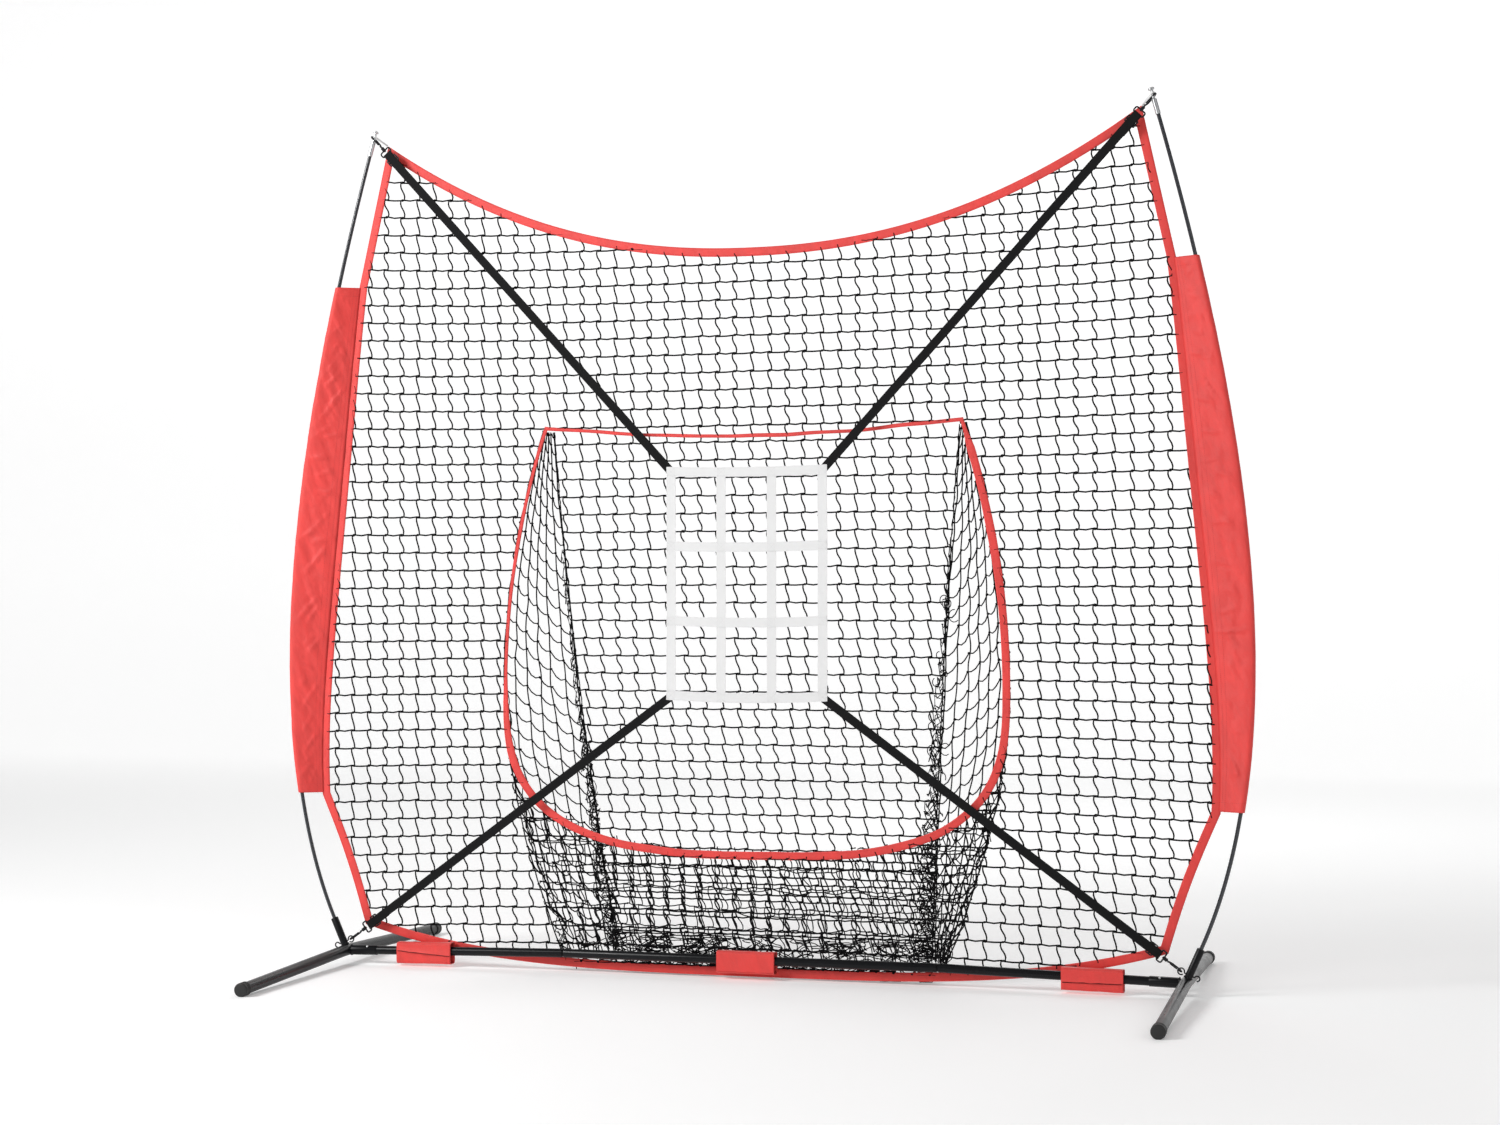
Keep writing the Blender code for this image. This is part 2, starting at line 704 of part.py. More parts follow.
def make_snap_button(name, side, chrome):
    """Domed button on the moving leg of the leaf spring inside the crossbar."""
    frame = button_frame(side)
    leaf_top = BAR_OD / 2 - TUBE_WALL - 0.001
    height = STUB_OD / 2 + BUTTON_PROUD
    dome = BUTTON_OD / 2
    profile = [(0, height)]
    profile += [
        (dome * math.sin(turn), height - dome * (1 - math.cos(turn)) * 0.6)
        for turn in (math.pi / 8 * step for step in range(1, 5))
    ]
    foot = leaf_top - LEAF_THICKNESS / 2
    profile += [(dome, foot), (0, foot)]
    button = turned(f"snap_button_{name}", profile, frame, segments=16)
    leaf_place = frame @ Matrix.Translation((0, 0, leaf_top - LEAF_THICKNESS / 2))
    leaf = box("leaf", (LEAF_LENGTH, LEAF_WIDTH, LEAF_THICKNESS), leaf_place)
    dress(join(button, leaf), chrome)


# Poles

def make_pole(name, side, glassfibre, chrome):
    line = pole_line(side)
    length = line_length(line)
    middle = length / 2
    sections = {"lower": (0, middle - GAP / 2), "upper": (middle + GAP / 2, length - 1e-6)}
    for part, (start, end) in sections.items():
        points = part_of_line(line, start, end)
        dress(to_mesh(wire(f"pole_{part}_{name}", points, POLE_OD / 2, sides=10)), glassfibre)
    half = POLE_FERRULE_LENGTH / 2
    ferrule_line = part_of_line(line, middle - half, middle + half)
    ferrule_radius = POLE_OD / 2 + GAP + POLE_FERRULE_WALL
    ferrule = tube(f"pole_ferrule_{name}", ferrule_line, ferrule_radius, POLE_FERRULE_WALL)
    dress(ferrule, chrome)


def make_tip(name, side, chrome):
    """Bright metal end: a ferrule on the pole, a neck for hook and loop, and a head."""
    neck_foot = TIP_FERRULE_LENGTH
    head_foot = neck_foot + TIP_NECK_LENGTH
    bevel = 0.001
    profile = [
        (0, TIP_LENGTH),
        (TIP_HEAD_OD / 2 - bevel, TIP_LENGTH),
        (TIP_HEAD_OD / 2, TIP_LENGTH - bevel),
        (TIP_HEAD_OD / 2, head_foot + bevel),
        (TIP_HEAD_OD / 2 - bevel, head_foot),
        (TIP_NECK_OD / 2, head_foot),
        (TIP_NECK_OD / 2, neck_foot),
        (TIP_OD / 2 - bevel, neck_foot),
        (TIP_OD / 2, neck_foot - bevel),
        (TIP_OD / 2, 0),
        (POLE_OD / 2 + GAP, 0),
        (POLE_OD / 2 + GAP, TIP_BORE_DEPTH),
        (0, TIP_BORE_DEPTH),
    ]
    dress(turned(f"pole_tip_{name}", profile, along(tip_foot(side), tip_top(side))), chrome)


# Soft parts

def make_net(twine, red):
    outline = net_outline()
    mouth = mouth_outline()
    net_edge = offset_outline(outline, -GAP)
    net_hole = offset_outline(mouth, BINDING_WIDTH / 2 + GAP)
    panel = plate("net_panel", [net_edge, net_hole], NET_THICKNESS, net_plane())
    dress(to_mesh(panel), twine)
    rim = [offset_outline(outline, BINDING_WIDTH), outline]
    dress(to_mesh(plate("net_binding", rim, BINDING_THICKNESS, net_plane())), red)
    ring = [offset_outline(mouth, BINDING_WIDTH / 2), offset_outline(mouth, -BINDING_WIDTH / 2)]
    dress(to_mesh(plate("mouth_binding", ring, BINDING_THICKNESS, net_plane())), red)


def make_sleeve(name, side, red):
    """Flat fabric tunnel round the pole, which tapers to the bound edge of the net."""
    round_points = 8
    flat_points = 3
    rings = []
    for height in sleeve_levels():
        pole = pole_x(height)
        seam = binding_edge(height) + SLEEVE_SEAM_GAP
        half = BINDING_THICKNESS / 2
        bow = arc((pole, 0), SLEEVE_POLE_ROOM, -math.pi / 2, math.pi / 2, round_points)
        front = [(seam, NET_Y - half)]
        back = [(seam, NET_Y + half)]
        for point in range(1, flat_points):
            share = point / flat_points
            x = seam + (pole - seam) * share
            front.append((x, (NET_Y - half) * (1 - share) - SLEEVE_POLE_ROOM * share))
            back.append((x, (NET_Y + half) * (1 - share) + SLEEVE_POLE_ROOM * share))
        ring = front + bow + back[::-1]
        rings.append([(side * x, y, height) for x, y in ring])
    sleeve = loft(f"sleeve_{name}", rings, closed_ends=False)
    shell = sleeve.modifiers.new("fabric", "SOLIDIFY")
    shell.thickness = SLEEVE_WALL
    shell.offset = -1.0
    dress(sleeve, red)


def make_tab(name, x, red):
    """Fabric loop from the net's bottom edge round the crossbar."""
    bar_z = BAR_Z if abs(x) < BAR_JOINT_X else JUNCTION_Z + (HALF_WIDTH - abs(x)) * math.tan(BAR_SLOPE)
    low, high = bar_z - TAB_DROP, bar_z + TAB_RAISE
    outer = rounded_rectangle(-TAB_FRONT, TAB_BACK, low, high, 0.006)
    inner = rounded_rectangle(
        -TAB_FRONT + TAB_WALL, TAB_BACK - TAB_WALL, low + TAB_WALL, high - TAB_WALL,
        0.006 - TAB_WALL,
    )
    turn = Matrix(((0, 0, 1), (1, 0, 0), (0, 1, 0))).to_4x4()
    dress(to_mesh(plate(name, [outer, inner], TAB_LENGTH, Matrix.Translation((x, 0, 0)) @ turn)), red)


def rounded_rectangle(left, right, low, high, radius, steps=3):
    """Anticlockwise outline."""
    corners = [
        ((right - radius, high - radius), 0),
        ((left + radius, high - radius), 1),
        ((left + radius, low + radius), 2),
        ((right - radius, low + radius), 3),
    ]
    points = []
    for centre, quarter in corners:
        start = quarter * math.pi / 2
        points += arc(centre, radius, start, start + math.pi / 2, steps)
    return points


def pocket_rings(shrink):
    """Level rings of the bag; shrink is how far they lie inside its outer surface."""
    front_y = NET_Y + BINDING_THICKNESS / 2 + GAP + shrink
    low = POCKET_FLOOR_Z + shrink
    high = MOUTH_TOP_Z - shrink
    rings = []
    for step in range(13):
        height = low + (high - low) * step / 12
        rise = min(1.0, (height - POCKET_FLOOR_Z) / (MOUTH_TOP_Z - POCKET_FLOOR_Z))
        if height > MOUTH_WIDEST_Z:
            front = mouth_half_width(height)
        else:
            fall = (MOUTH_WIDEST_Z - height) / (MOUTH_WIDEST_Z - POCKET_FLOOR_Z)
            front = MOUTH_HALF_WIDTH - (MOUTH_HALF_WIDTH - POCKET_FLOOR_HALF_WIDTH) * fall ** 1.8
        front += BINDING_WIDTH / 2 - shrink
        back = POCKET_BACK_HALF_WIDTH - shrink
        back += (POCKET_BACK_TOP_HALF_WIDTH - POCKET_BACK_HALF_WIDTH) * rise
        depth = POCKET_TOP_DEPTH + (POCKET_DEPTH - POCKET_TOP_DEPTH) * (1 - rise) ** 2
        back_y = NET_Y + depth - shrink
        rings.append([
            (-front, front_y, height), (-back, back_y, height),
            (back, back_y, height), (front, front_y, height),
        ])
    return rings


def make_pocket(twine):
    """Bag behind the net, closed below, with its front open at the mouth."""
    bag = loft("pocket_bag", pocket_rings(0.0), closed_ends=True)
    inside = loft("pocket_inside", pocket_rings(POCKET_WALL), closed_ends=True)
    hole = offset_outline(mouth_outline(), -BINDING_WIDTH / 2)
    front_wall = BINDING_THICKNESS / 2 + GAP + POCKET_WALL / 2
    place = Matrix.Translation((0, front_wall, 0)) @ net_plane()
    mouth = to_mesh(plate("pocket_mouth", [hole], POCKET_WALL + 2 * GAP, place))
    dress(cut(bag, inside, mouth), twine)


def make_target(webbing):
    half_width, half_height = TARGET_WIDTH / 2, TARGET_HEIGHT / 2
    outlines = [[
        (-half_width, TARGET_CENTRE_Z - half_height), (half_width, TARGET_CENTRE_Z - half_height),
        (half_width, TARGET_CENTRE_Z + half_height), (-half_width, TARGET_CENTRE_Z + half_height),
    ]]
    pitch_x = (TARGET_WIDTH - TARGET_TAPE) / TARGET_CELLS
    pitch_z = (TARGET_HEIGHT - TARGET_TAPE) / TARGET_CELLS
    for column in range(TARGET_CELLS):
        for row in range(TARGET_CELLS):
            left = -half_width + TARGET_TAPE + column * pitch_x
            low = TARGET_CENTRE_Z - half_height + TARGET_TAPE + row * pitch_z
            right = left + pitch_x - TARGET_TAPE
            high = low + pitch_z - TARGET_TAPE
            outlines.append([(left, low), (right, low), (right, high), (left, high)])
    place = Matrix.Translation((0, TARGET_Y - NET_Y, 0)) @ net_plane()
    dress(to_mesh(plate("target_grid", outlines, TARGET_THICKNESS, place)), webbing)


def neck_point(side, share):
    """Point on the axis of a tip's neck, share 0 at its foot and 1 at its head."""
    return tip_foot(side) + tip_axis(side) * (TIP_FERRULE_LENGTH + TIP_NECK_LENGTH * share)


def belt_outline(big, small, length):
    """Outline of a band round a circle at the origin and a smaller one at (length, 0)."""
    lean = math.acos((big - small) / length)
    return (
        arc((length, 0), small, -lean, lean, 6)
        + arc((0, 0), big, lean, 2 * math.pi - lean, 16)
    )


def make_tip_loop(name, side, webbing):
    """Webbing loop from a tip's neck to the net's upper corner."""
    outline = offset_outline(net_outline(), BINDING_WIDTH)
    corner_x, corner_z = max(outline, key=lambda place: place[1] + place[0] * 0.01)
    corner = Vector((side * corner_x, NET_Y, corner_z))
    centre = neck_point(side, LOOP_LEVEL)
    x_axis = (corner - centre).normalized()
    z_axis = (tip_axis(side) - x_axis * tip_axis(side).dot(x_axis)).normalized()
    y_axis = z_axis.cross(x_axis)
    frame = Matrix((x_axis, y_axis, z_axis)).transposed().to_4x4()
    end_radius = 0.0022
    length = (corner - centre).length - end_radius - BINDING_THICKNESS / 2
    inner_radius = TIP_NECK_OD / 2 + LOOP_ROOM
    outer = belt_outline(inner_radius + LOOP_THICKNESS, end_radius, length)
    inner = belt_outline(inner_radius, end_radius - LOOP_THICKNESS, length)
    place = Matrix.Translation(centre) @ frame
    dress(to_mesh(plate(f"tip_loop_{name}", [outer, inner], LOOP_HEIGHT, place)), webbing)


# Straps and snap hooks. Each set has a frame: origin in the hook's bight, local X along
# the strap to the target, local Y into the net.

def strap_frame(side, level):
    """level is 1 for a strap to a pole tip and -1 for one to an anchor eye."""
    corner = Vector((
        side * TARGET_WIDTH / 2, 0, TARGET_CENTRE_Z + level * TARGET_HEIGHT / 2))
    if level > 0:
        origin = neck_point(side, HOOK_LEVEL)
    else:
        eye = anchor_eye_centre(side)
        origin = eye + (corner - eye).normalized() * (ANCHOR_EYE + ANCHOR_WIRE) / 2
    x_axis = (corner - origin).normalized()
    rotation = Matrix((x_axis, INTO, x_axis.cross(INTO))).transposed().to_4x4()
    return Matrix.Translation(origin) @ rotation, (corner - origin).length


BARREL_X = HOOK_LENGTH + HOOK_SHOULDER
RING_X = BARREL_X + BARREL_LENGTH
RING_BAR_X = RING_X + RING_WIRE / 2 + RING_LENGTH
SLIDER_X = RING_BAR_X + SLIDER_FROM_RING + SLIDER_LENGTH / 2


def spin_frame(frame):
    """The same frame with local Z along the strap, for turned shapes."""
    return frame @ Matrix.Rotation(math.pi / 2, 4, "Y")


def local_cylinder(name, frame, start, end, radius, segments=16):
    return cylinder(name, frame @ Vector(start), frame @ Vector(end), radius, segments)


def make_hook_base(name, frame, steel):
    """Strap ring with the barrel in which the hook's stem turns."""
    half = STRAP_WIDTH / 2 + RING_WIRE / 2 + SLIDER_SIDE_ROOM
    low, high = RING_X, RING_BAR_X
    ring = [(x, 0, z) for x, z in rounded_rectangle(low, high, -half, half, 0.004, 2)]
    base = to_mesh(wire(f"hook_base_{name}", ring, RING_WIRE / 2, cyclic=True, matrix=frame))
    barrel = local_cylinder(
        "barrel", frame, (BARREL_X, 0, 0), (RING_X + RING_WIRE / 2, 0, 0), BARREL_OD / 2)
    bore = local_cylinder(
        "barrel_bore", frame, (BARREL_X - 0.01, 0, 0), (RING_X + RING_LENGTH / 2, 0, 0),
        HOOK_STEM / 2 + RUNNING_GAP)
    dress(cut(join(base, barrel), bore), steel)


def hook_line():
    """Centre line of the hook's wire in its plane, from the nose to the stem."""
    radius = HOOK_HALF_WIDTH + HOOK_WIRE / 2
    bight = arc((0, 0), radius, -math.pi / 2, -3 * math.pi / 2, 8)
    nose = (0.002, -radius)
    shank = [(HOOK_LENGTH * 0.75, radius), (HOOK_LENGTH * 0.95, radius * 0.72)]
    crown = [(HOOK_LENGTH + HOOK_WIRE / 2, radius * 0.2), (HOOK_LENGTH + HOOK_WIRE, 0)]
    return [nose, *bight, *shank, *crown]


def gate_pivot():
    """Hinge of the gate in the hook's plane."""
    return HOOK_LENGTH, -(HOOK_HALF_WIDTH + HOOK_WIRE / 2)


def make_hook(name, frame, steel):
    points = [(x, y, 0) for x, y in hook_line()]
    hook = to_mesh(wire(f"snap_hook_{name}", points, HOOK_WIRE / 2, matrix=frame))
    stem_end = RING_X + RING_WIRE / 2 + RUNNING_GAP
    stem = local_cylinder(
        "stem", frame, (HOOK_LENGTH + HOOK_WIRE / 2, 0, 0), (stem_end, 0, 0), HOOK_STEM / 2)
    rivet = local_cylinder(
        "rivet", frame, (stem_end, 0, 0), (stem_end + RIVET_HEIGHT, 0, 0), RIVET_OD / 2)
    pivot_x, pivot_y = gate_pivot()
    arm = [
        (HOOK_LENGTH + HOOK_WIRE * 1.1, 0.0002, 0),
        (pivot_x + GATE_WIRE * 1.35, pivot_y * 0.80, 0),
    ]
    arm_wire = to_mesh(wire("gate_arm", arm, HOOK_WIRE / 2, matrix=frame))
    dress(join(hook, arm_wire, stem, rivet), steel)


def make_gate(name, frame, steel):
    """Sprung gate from the shoulder to the nose, with its origin on its hinge."""
    pivot_x, pivot_y = gate_pivot()
    place = frame @ Matrix.Translation((pivot_x, pivot_y, 0))
    nose_x = 0.002 + GATE_NOSE_GAP - pivot_x
    dress(to_mesh(wire(f"hook_gate_{name}", [(0, 0, 0), (nose_x, 0, 0)], GATE_WIRE / 2,
                       matrix=place)), steel)


def make_strap(name, frame, length, elastic):
    """Strap from behind the target's corner, round the ring's bar and back."""
    inner = RING_WIRE / 2 + GAP
    outer = inner + STRAP_THICKNESS
    end = length + STRAP_LAP
    back = RING_BAR_X + STRAP_RETURN
    outline = (
        [(end, -outer), (end, -inner)]
        + arc((RING_BAR_X, 0), inner, 3 * math.pi / 2, math.pi / 2, 6)
        + [(back, inner), (back, outer)]
        + arc((RING_BAR_X, 0), outer, math.pi / 2, 3 * math.pi / 2, 8)
    )
    dress(to_mesh(plate(f"strap_{name}", [outline], STRAP_WIDTH, frame)), elastic)


def make_slider(name, frame, steel):
    """Adjuster between the strap's two layers: a frame with a middle bar."""
    half = STRAP_WIDTH / 2 + SLIDER_FRAME + SLIDER_SIDE_ROOM
    slot = STRAP_WIDTH / 2 + SLIDER_SIDE_ROOM
    outer = rounded_rectangle(-SLIDER_LENGTH / 2, SLIDER_LENGTH / 2, -half, half, 0.003)
    slots = []
    for end in (-1, 1):
        near = SLIDER_FRAME / 2
        far = SLIDER_LENGTH / 2 - SLIDER_FRAME
        left, right = (near, far) if end > 0 else (-far, -near)
        slots.append(rounded_rectangle(left, right, -slot, slot, 0.001))
    place = frame @ Matrix.Translation((SLIDER_X, 0, 0)) @ Matrix.Rotation(-math.pi / 2, 4, "X")
    dress(to_mesh(plate(f"strap_slider_{name}", [outer, *slots], SLIDER_THICKNESS, place)), steel)


def make_straps(steel, elastic):
    for level_name, level in (("upper", 1), ("lower", -1)):
        for side_name, side in SIDES.items():
            name = f"{level_name}_{side_name}"
            frame, length = strap_frame(side, level)
            make_hook_base(name, frame, steel)
            make_hook(name, frame, steel)
            make_gate(name, frame, steel)
            make_strap(name, frame, length, elastic)
            make_slider(name, frame, steel)


def main():
    for obj in list(bpy.data.objects):
        bpy.data.objects.remove(obj)
    steel = new_material("black_steel", (0.022, 0.022, 0.025), 0.35, 0.6)
    rubber = new_material("black_rubber", (0.012, 0.012, 0.012), 0.7)
    nylon = new_material("black_nylon", (0.020, 0.020, 0.020), 0.5)
    chrome = new_material("bright_steel", (0.78, 0.79, 0.80), 0.2, 1.0)
    glassfibre = new_material("black_glassfibre", (0.015, 0.016, 0.02), 0.25)
    twine = new_material("black_twine", (0.012, 0.012, 0.012), 0.85)
    red = new_material("red_polyester", (0.78, 0.065, 0.06), 0.7)
    webbing = new_material("white_webbing", (0.83, 0.83, 0.82), 0.8)
    elastic = new_material("black_webbing", (0.010, 0.010, 0.010), 0.8)

    for name, side in SIDES.items():
        make_foot(name, side, steel)
        make_end_cap(f"end_cap_front_{name}", side, -1, rubber)
        make_end_cap(f"end_cap_rear_{name}", side, 1, rubber)
        make_stub(name, side, steel)
        make_socket(name, side, steel, nylon)
        make_anchor_wire(name, side, steel)
        make_snap_button(name, side, chrome)
        make_pole(name, side, glassfibre, chrome)
        make_tip(name, side, chrome)
        make_sleeve(name, side, red)
        make_tip_loop(name, side, webbing)
        make_tab(f"tab_{name}", side * TAB_X, red)
    make_tab("tab_middle", 0, red)
    make_crossbar(steel)
    make_net(twine, red)
    make_pocket(twine)
    make_target(webbing)
    make_straps(steel, elastic)


main()
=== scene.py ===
"""Looks of the pitching target net: its own materials, netting, sewn cloth and hardware."""
import math
import random

import bmesh
import bpy
from mathutils import Matrix, Vector, noise


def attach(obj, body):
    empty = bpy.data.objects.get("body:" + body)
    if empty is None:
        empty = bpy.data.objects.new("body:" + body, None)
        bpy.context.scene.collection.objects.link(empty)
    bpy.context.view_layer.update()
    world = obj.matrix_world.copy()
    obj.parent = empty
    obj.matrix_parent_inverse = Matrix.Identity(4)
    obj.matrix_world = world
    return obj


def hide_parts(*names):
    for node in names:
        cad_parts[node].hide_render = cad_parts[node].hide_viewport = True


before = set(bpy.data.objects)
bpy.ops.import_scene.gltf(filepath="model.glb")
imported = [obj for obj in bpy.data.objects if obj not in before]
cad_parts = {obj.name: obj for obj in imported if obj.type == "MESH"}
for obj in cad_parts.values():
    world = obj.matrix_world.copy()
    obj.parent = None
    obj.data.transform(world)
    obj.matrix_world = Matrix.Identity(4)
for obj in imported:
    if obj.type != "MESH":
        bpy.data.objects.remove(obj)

bl_info = {
    "name": "Pitching target net",
    "version": (1, 0, 0),
    "blender": (4, 5, 0),
    "location": "3D View > Sidebar > Pitching net",
    "description": "Dresses the pitching target net with netting, sewn cloth and hardware",
    "category": "Object",
}

# Sizes in metres that the netting, cloth and hardware follow
GAP = 0.0003
FRAME_WIDTH = 2.140
FRAME_HEIGHT = 2.147
FOOT_LENGTH = 1.180
FOOT_OD = 0.029
FOOT_RISE = 0.0181
FOOT_BEND = 0.030
CAP_WALL = 0.0020
CAP_LENGTH = 0.028
SOLE_DEPTH = 0.0009
BAR_OD = 0.022
BAR_RISE = 0.013
BAR_JOINT_X = 0.480
BAR_INSERT = 0.045
STUB_OD = 0.0252
STUB_REACH = 0.085
SOCKET_OD = 0.019
SOCKET_WALL = 0.0015
SOCKET_REACH = 0.088
SOCKET_LEAN = math.radians(24)
ANCHOR_WIRE = 0.0035
ANCHOR_HEIGHT = 0.021
ANCHOR_EYE = 0.012
ANCHOR_CURL = 0.009
BUTTON_OD = 0.006
BUTTON_PROUD = 0.003
BUTTON_ANGLE = math.radians(50)
BUTTON_SETBACK = 0.025
POLE_OD = 0.0096
POLE_LOWER_HANDLE = 0.28
POLE_UPPER_HANDLE = 0.36
TIP_INSET = 0.075
TIP_LEAN = math.radians(15.5)
TIP_HEAD_OD = 0.016
TIP_HEAD_LENGTH = 0.006
TIP_NECK_OD = 0.0075
TIP_NECK_LENGTH = 0.022
TIP_OD = 0.013
TIP_FERRULE_LENGTH = 0.038
TIP_BORE_DEPTH = 0.028
NET_Y = 0.022
BINDING_WIDTH = 0.022
BINDING_THICKNESS = 0.004
TOP_CORNER_INSET = 0.114
TOP_CORNER_DROP = 0.072
TOP_SAG = 0.287
TOP_SAG_POWER = 2.2
BOTTOM_CORNER_INSET = 0.060
BOTTOM_CORNER_Z = 0.116
BOTTOM_MIDDLE_Z = 0.026
BOTTOM_POWER = 3.4
LOWER_SIDE_HOLLOW = 0.007
SLEEVE_BOTTOM_Z = 0.436
SLEEVE_TOP_DROP = 0.402
SLEEVE_WIDTH_END = 0.070
SLEEVE_BELLY = 0.046
SLEEVE_POLE_ROOM = 0.010
TAB_LENGTH = 0.150
TAB_X = 0.852
TAB_FRONT = 0.0150
TAB_BACK = 0.0175
TAB_DROP = 0.0330
TAB_RAISE = 0.0230
LOOP_LEVEL = 0.62
HOOK_LEVEL = 0.30
MOUTH_HALF_WIDTH = 0.643
MOUTH_WIDEST_Z = 0.720
MOUTH_SILL_Z = 0.302
MOUTH_TOP_DROP = 0.775
MOUTH_TOP_HALF_WIDTH = 0.535
MOUTH_TOP_SAG = 0.030
MOUTH_POWER = 3.0
POCKET_FLOOR_Z = 0.012
POCKET_FLOOR_HALF_WIDTH = 0.470
POCKET_BACK_HALF_WIDTH = 0.418
POCKET_BACK_TOP_HALF_WIDTH = 0.528
POCKET_TOP_DEPTH = 0.040
POCKET_DEPTH = 0.240
TARGET_WIDTH = 0.412
TARGET_HEIGHT = 0.580
TARGET_CENTRE_Z = 0.976
TARGET_TAPE = 0.024
TARGET_CELLS = 3
STRAP_WIDTH = 0.022
STRAP_THICKNESS = 0.0016
STRAP_LAP = 0.020
STRAP_RETURN = 0.060
HOOK_WIRE = 0.0045
HOOK_HALF_WIDTH = 0.0065
HOOK_LENGTH = 0.024
HOOK_STEM = 0.004
HOOK_SHOULDER = 0.008
BARREL_OD = 0.009
BARREL_LENGTH = 0.010
RIVET_OD = 0.0066
RING_WIRE = 0.004
RING_LENGTH = 0.011
GATE_WIRE = 0.0036
SLIDER_SIDE_ROOM = 0.0012

HALF_WIDTH = FRAME_WIDTH / 2
CAP_RADIUS = FOOT_OD / 2 + GAP + CAP_WALL
JUNCTION_Z = CAP_RADIUS - SOLE_DEPTH + FOOT_RISE
BAR_Z = JUNCTION_Z + BAR_RISE
BAR_SLOPE = math.atan2(BAR_RISE, HALF_WIDTH - BAR_JOINT_X)
SLEEVE_TOP_Z = FRAME_HEIGHT - SLEEVE_TOP_DROP
MOUTH_TOP_Z = FRAME_HEIGHT - MOUTH_TOP_DROP
TIP_LENGTH = TIP_HEAD_LENGTH + TIP_NECK_LENGTH + TIP_FERRULE_LENGTH
STRAP_Y = RING_WIRE / 2 + GAP + STRAP_THICKNESS / 2
TARGET_Y = -STRAP_Y - STRAP_THICKNESS / 2 - GAP - 0.0009
BARREL_X = HOOK_LENGTH + HOOK_SHOULDER
RING_X = BARREL_X + BARREL_LENGTH
RING_BAR_X = RING_X + RING_WIRE / 2 + RING_LENGTH
KNOT_SHIFT = 0.0046          # half the length that a knot takes up across the twine
NET_JITTER = 0.0016          # how far a knot of the stretched panel strays
AXIS_RADIUS = 0.00002        # stands for a point on the axis of a turned piece
TARGET_LAYER = 0.0009        # thickness of one tape of the target
CLOTH_WALL = 0.0009          # sleeve cloth, tab cloth
TAB_WALL = 0.0011
SLEEVE_ROWS = 300
SLEEVE_FOLDS = 34
SLEEVE_FLAT_POINTS = 16      # across one face of a sleeve
SLEEVE_BOW_POINTS = 14       # round the pole
FULL_TURN = 6.28             # radians, to the length that the loose curls were drawn with
STITCH_PITCH = 0.0045
STITCH_LENGTH = 0.0016       # half of what shows of one stitch
THREAD_RADIUS = 0.00035
EDGE_FOLD = 0.0036           # thickness of a folded binding
CLOTH_THREAD = 0.0011        # pitch of the threads of the red cloth
TARGET_STEPS = 40            # along one tape of the target
PILE_STRANDS = 200           # loose lengths of twine on the floor
PILE_STEP = 0.009
PILE_HALF_WIDTH = 0.455
PILE_FRONT = 0.032
PILE_BACK = 0.21
SEAM_CURLS = 26              # small loops beside each back seam
EDGE_STRANDS = 4             # slack lengths down each side of the outline
SIDE_COLUMNS = 6             # meshes between the mouth and the pocket's back
CAP_GROOVES = (0.0095, 0.0145)
TIP_GROOVES = (0.0300, 0.0085)
WELD_BEADS = 26
WELD_RADIUS = 0.0016

# From where to where rows of knots are laid before they are cut to shape, in X and in Z
PANEL_SPAN, PANEL_RISE = (-1.17, 1.17), (0.01, 2.13)
BACK_SPAN, BACK_RISE = (-0.545, 0.545), (0.03, 1.38)
SLACK_SPAN, SLACK_RISE = (-0.66, 0.66), (0.02, 0.76)

# Twine bunched at each back seam: side, upper ends of its lengths, how far it spreads
SEAM_BUNCHES = (
    (-1, (1.06, 0.98, 0.78, 0.62, 0.48), 0.024),
    (1, (1.06, 0.98, 0.78, 0.62, 0.48, 0.40, 0.36), 0.040),
)

# Slack netting below the mouth: place in Y, mesh across, mesh up, stray, upper end
SLACK_LAYERS = ((0.036, 0.037, 0.050, 1.0, 0.74), (0.080, 0.046, 0.056, 1.3, 0.50))

# Free edge of each tab's lap: its height as a share, its slant, and how far it stands off
TAB_LAPS = {
    "left": (0.52, -0.0125, 0.0030), "middle": (0.12, 0.0, 0.0004), "right": (0.40, 0.002, 0.0026),
}

# Name, place, aim, side in metres and power in watts
LIGHTS = (
    ("key", (-4.2, -3.8, 3.8), (0, 0, 0.9), 1.8, 300.0),
    ("fill", (4.2, -3.4, 2.4), (0, 0, 1.0), 2.6, 34.0),
    ("back", (0.5, 4.5, 4.2), (0, 0, 0.8), 3.0, 60.0),
)
SKY_STRENGTH = 0.25
SWEEP_FRONT = -14.0
SWEEP_BEND_Y = 8.0           # where the floor starts to curve upwards
SWEEP_RADIUS = 4.0
SWEEP_TOP = 14.0
SWEEP_HALF_WIDTH = 22.0
SENSOR_WIDTH = 36.0          # millimetres
GLOW_START = 1.0             # the backdrop starts to glow this far behind the net
GLOW_LENGTH = 10.0

SIDES = {"left": -1, "right": 1}
LEVELS = {"upper": 1, "lower": -1}
UP = Vector((0, 0, 1))
INTO = Vector((0, 1, 0))
BASE_BODY = "frame"


# Lines and outlines of the frame

def junction(side):
    """Where the axes of foot, stub and socket meet."""
    return Vector((side * HALF_WIDTH, 0, JUNCTION_Z))


def socket_axis(side):
    return Vector((side * math.sin(SOCKET_LEAN), 0, math.cos(SOCKET_LEAN)))


def tip_axis(side):
    return Vector((-side * math.sin(TIP_LEAN), 0, math.cos(TIP_LEAN)))


def tip_foot(side):
    """Lower end of the metal tip."""
    top = Vector((side * (HALF_WIDTH - TIP_INSET), 0, FRAME_HEIGHT))
    return top - tip_axis(side) * TIP_LENGTH


def neck_point(side, share):
    """A point up the tip's neck."""
    return tip_foot(side) + tip_axis(side) * (TIP_FERRULE_LENGTH + TIP_NECK_LENGTH * share)


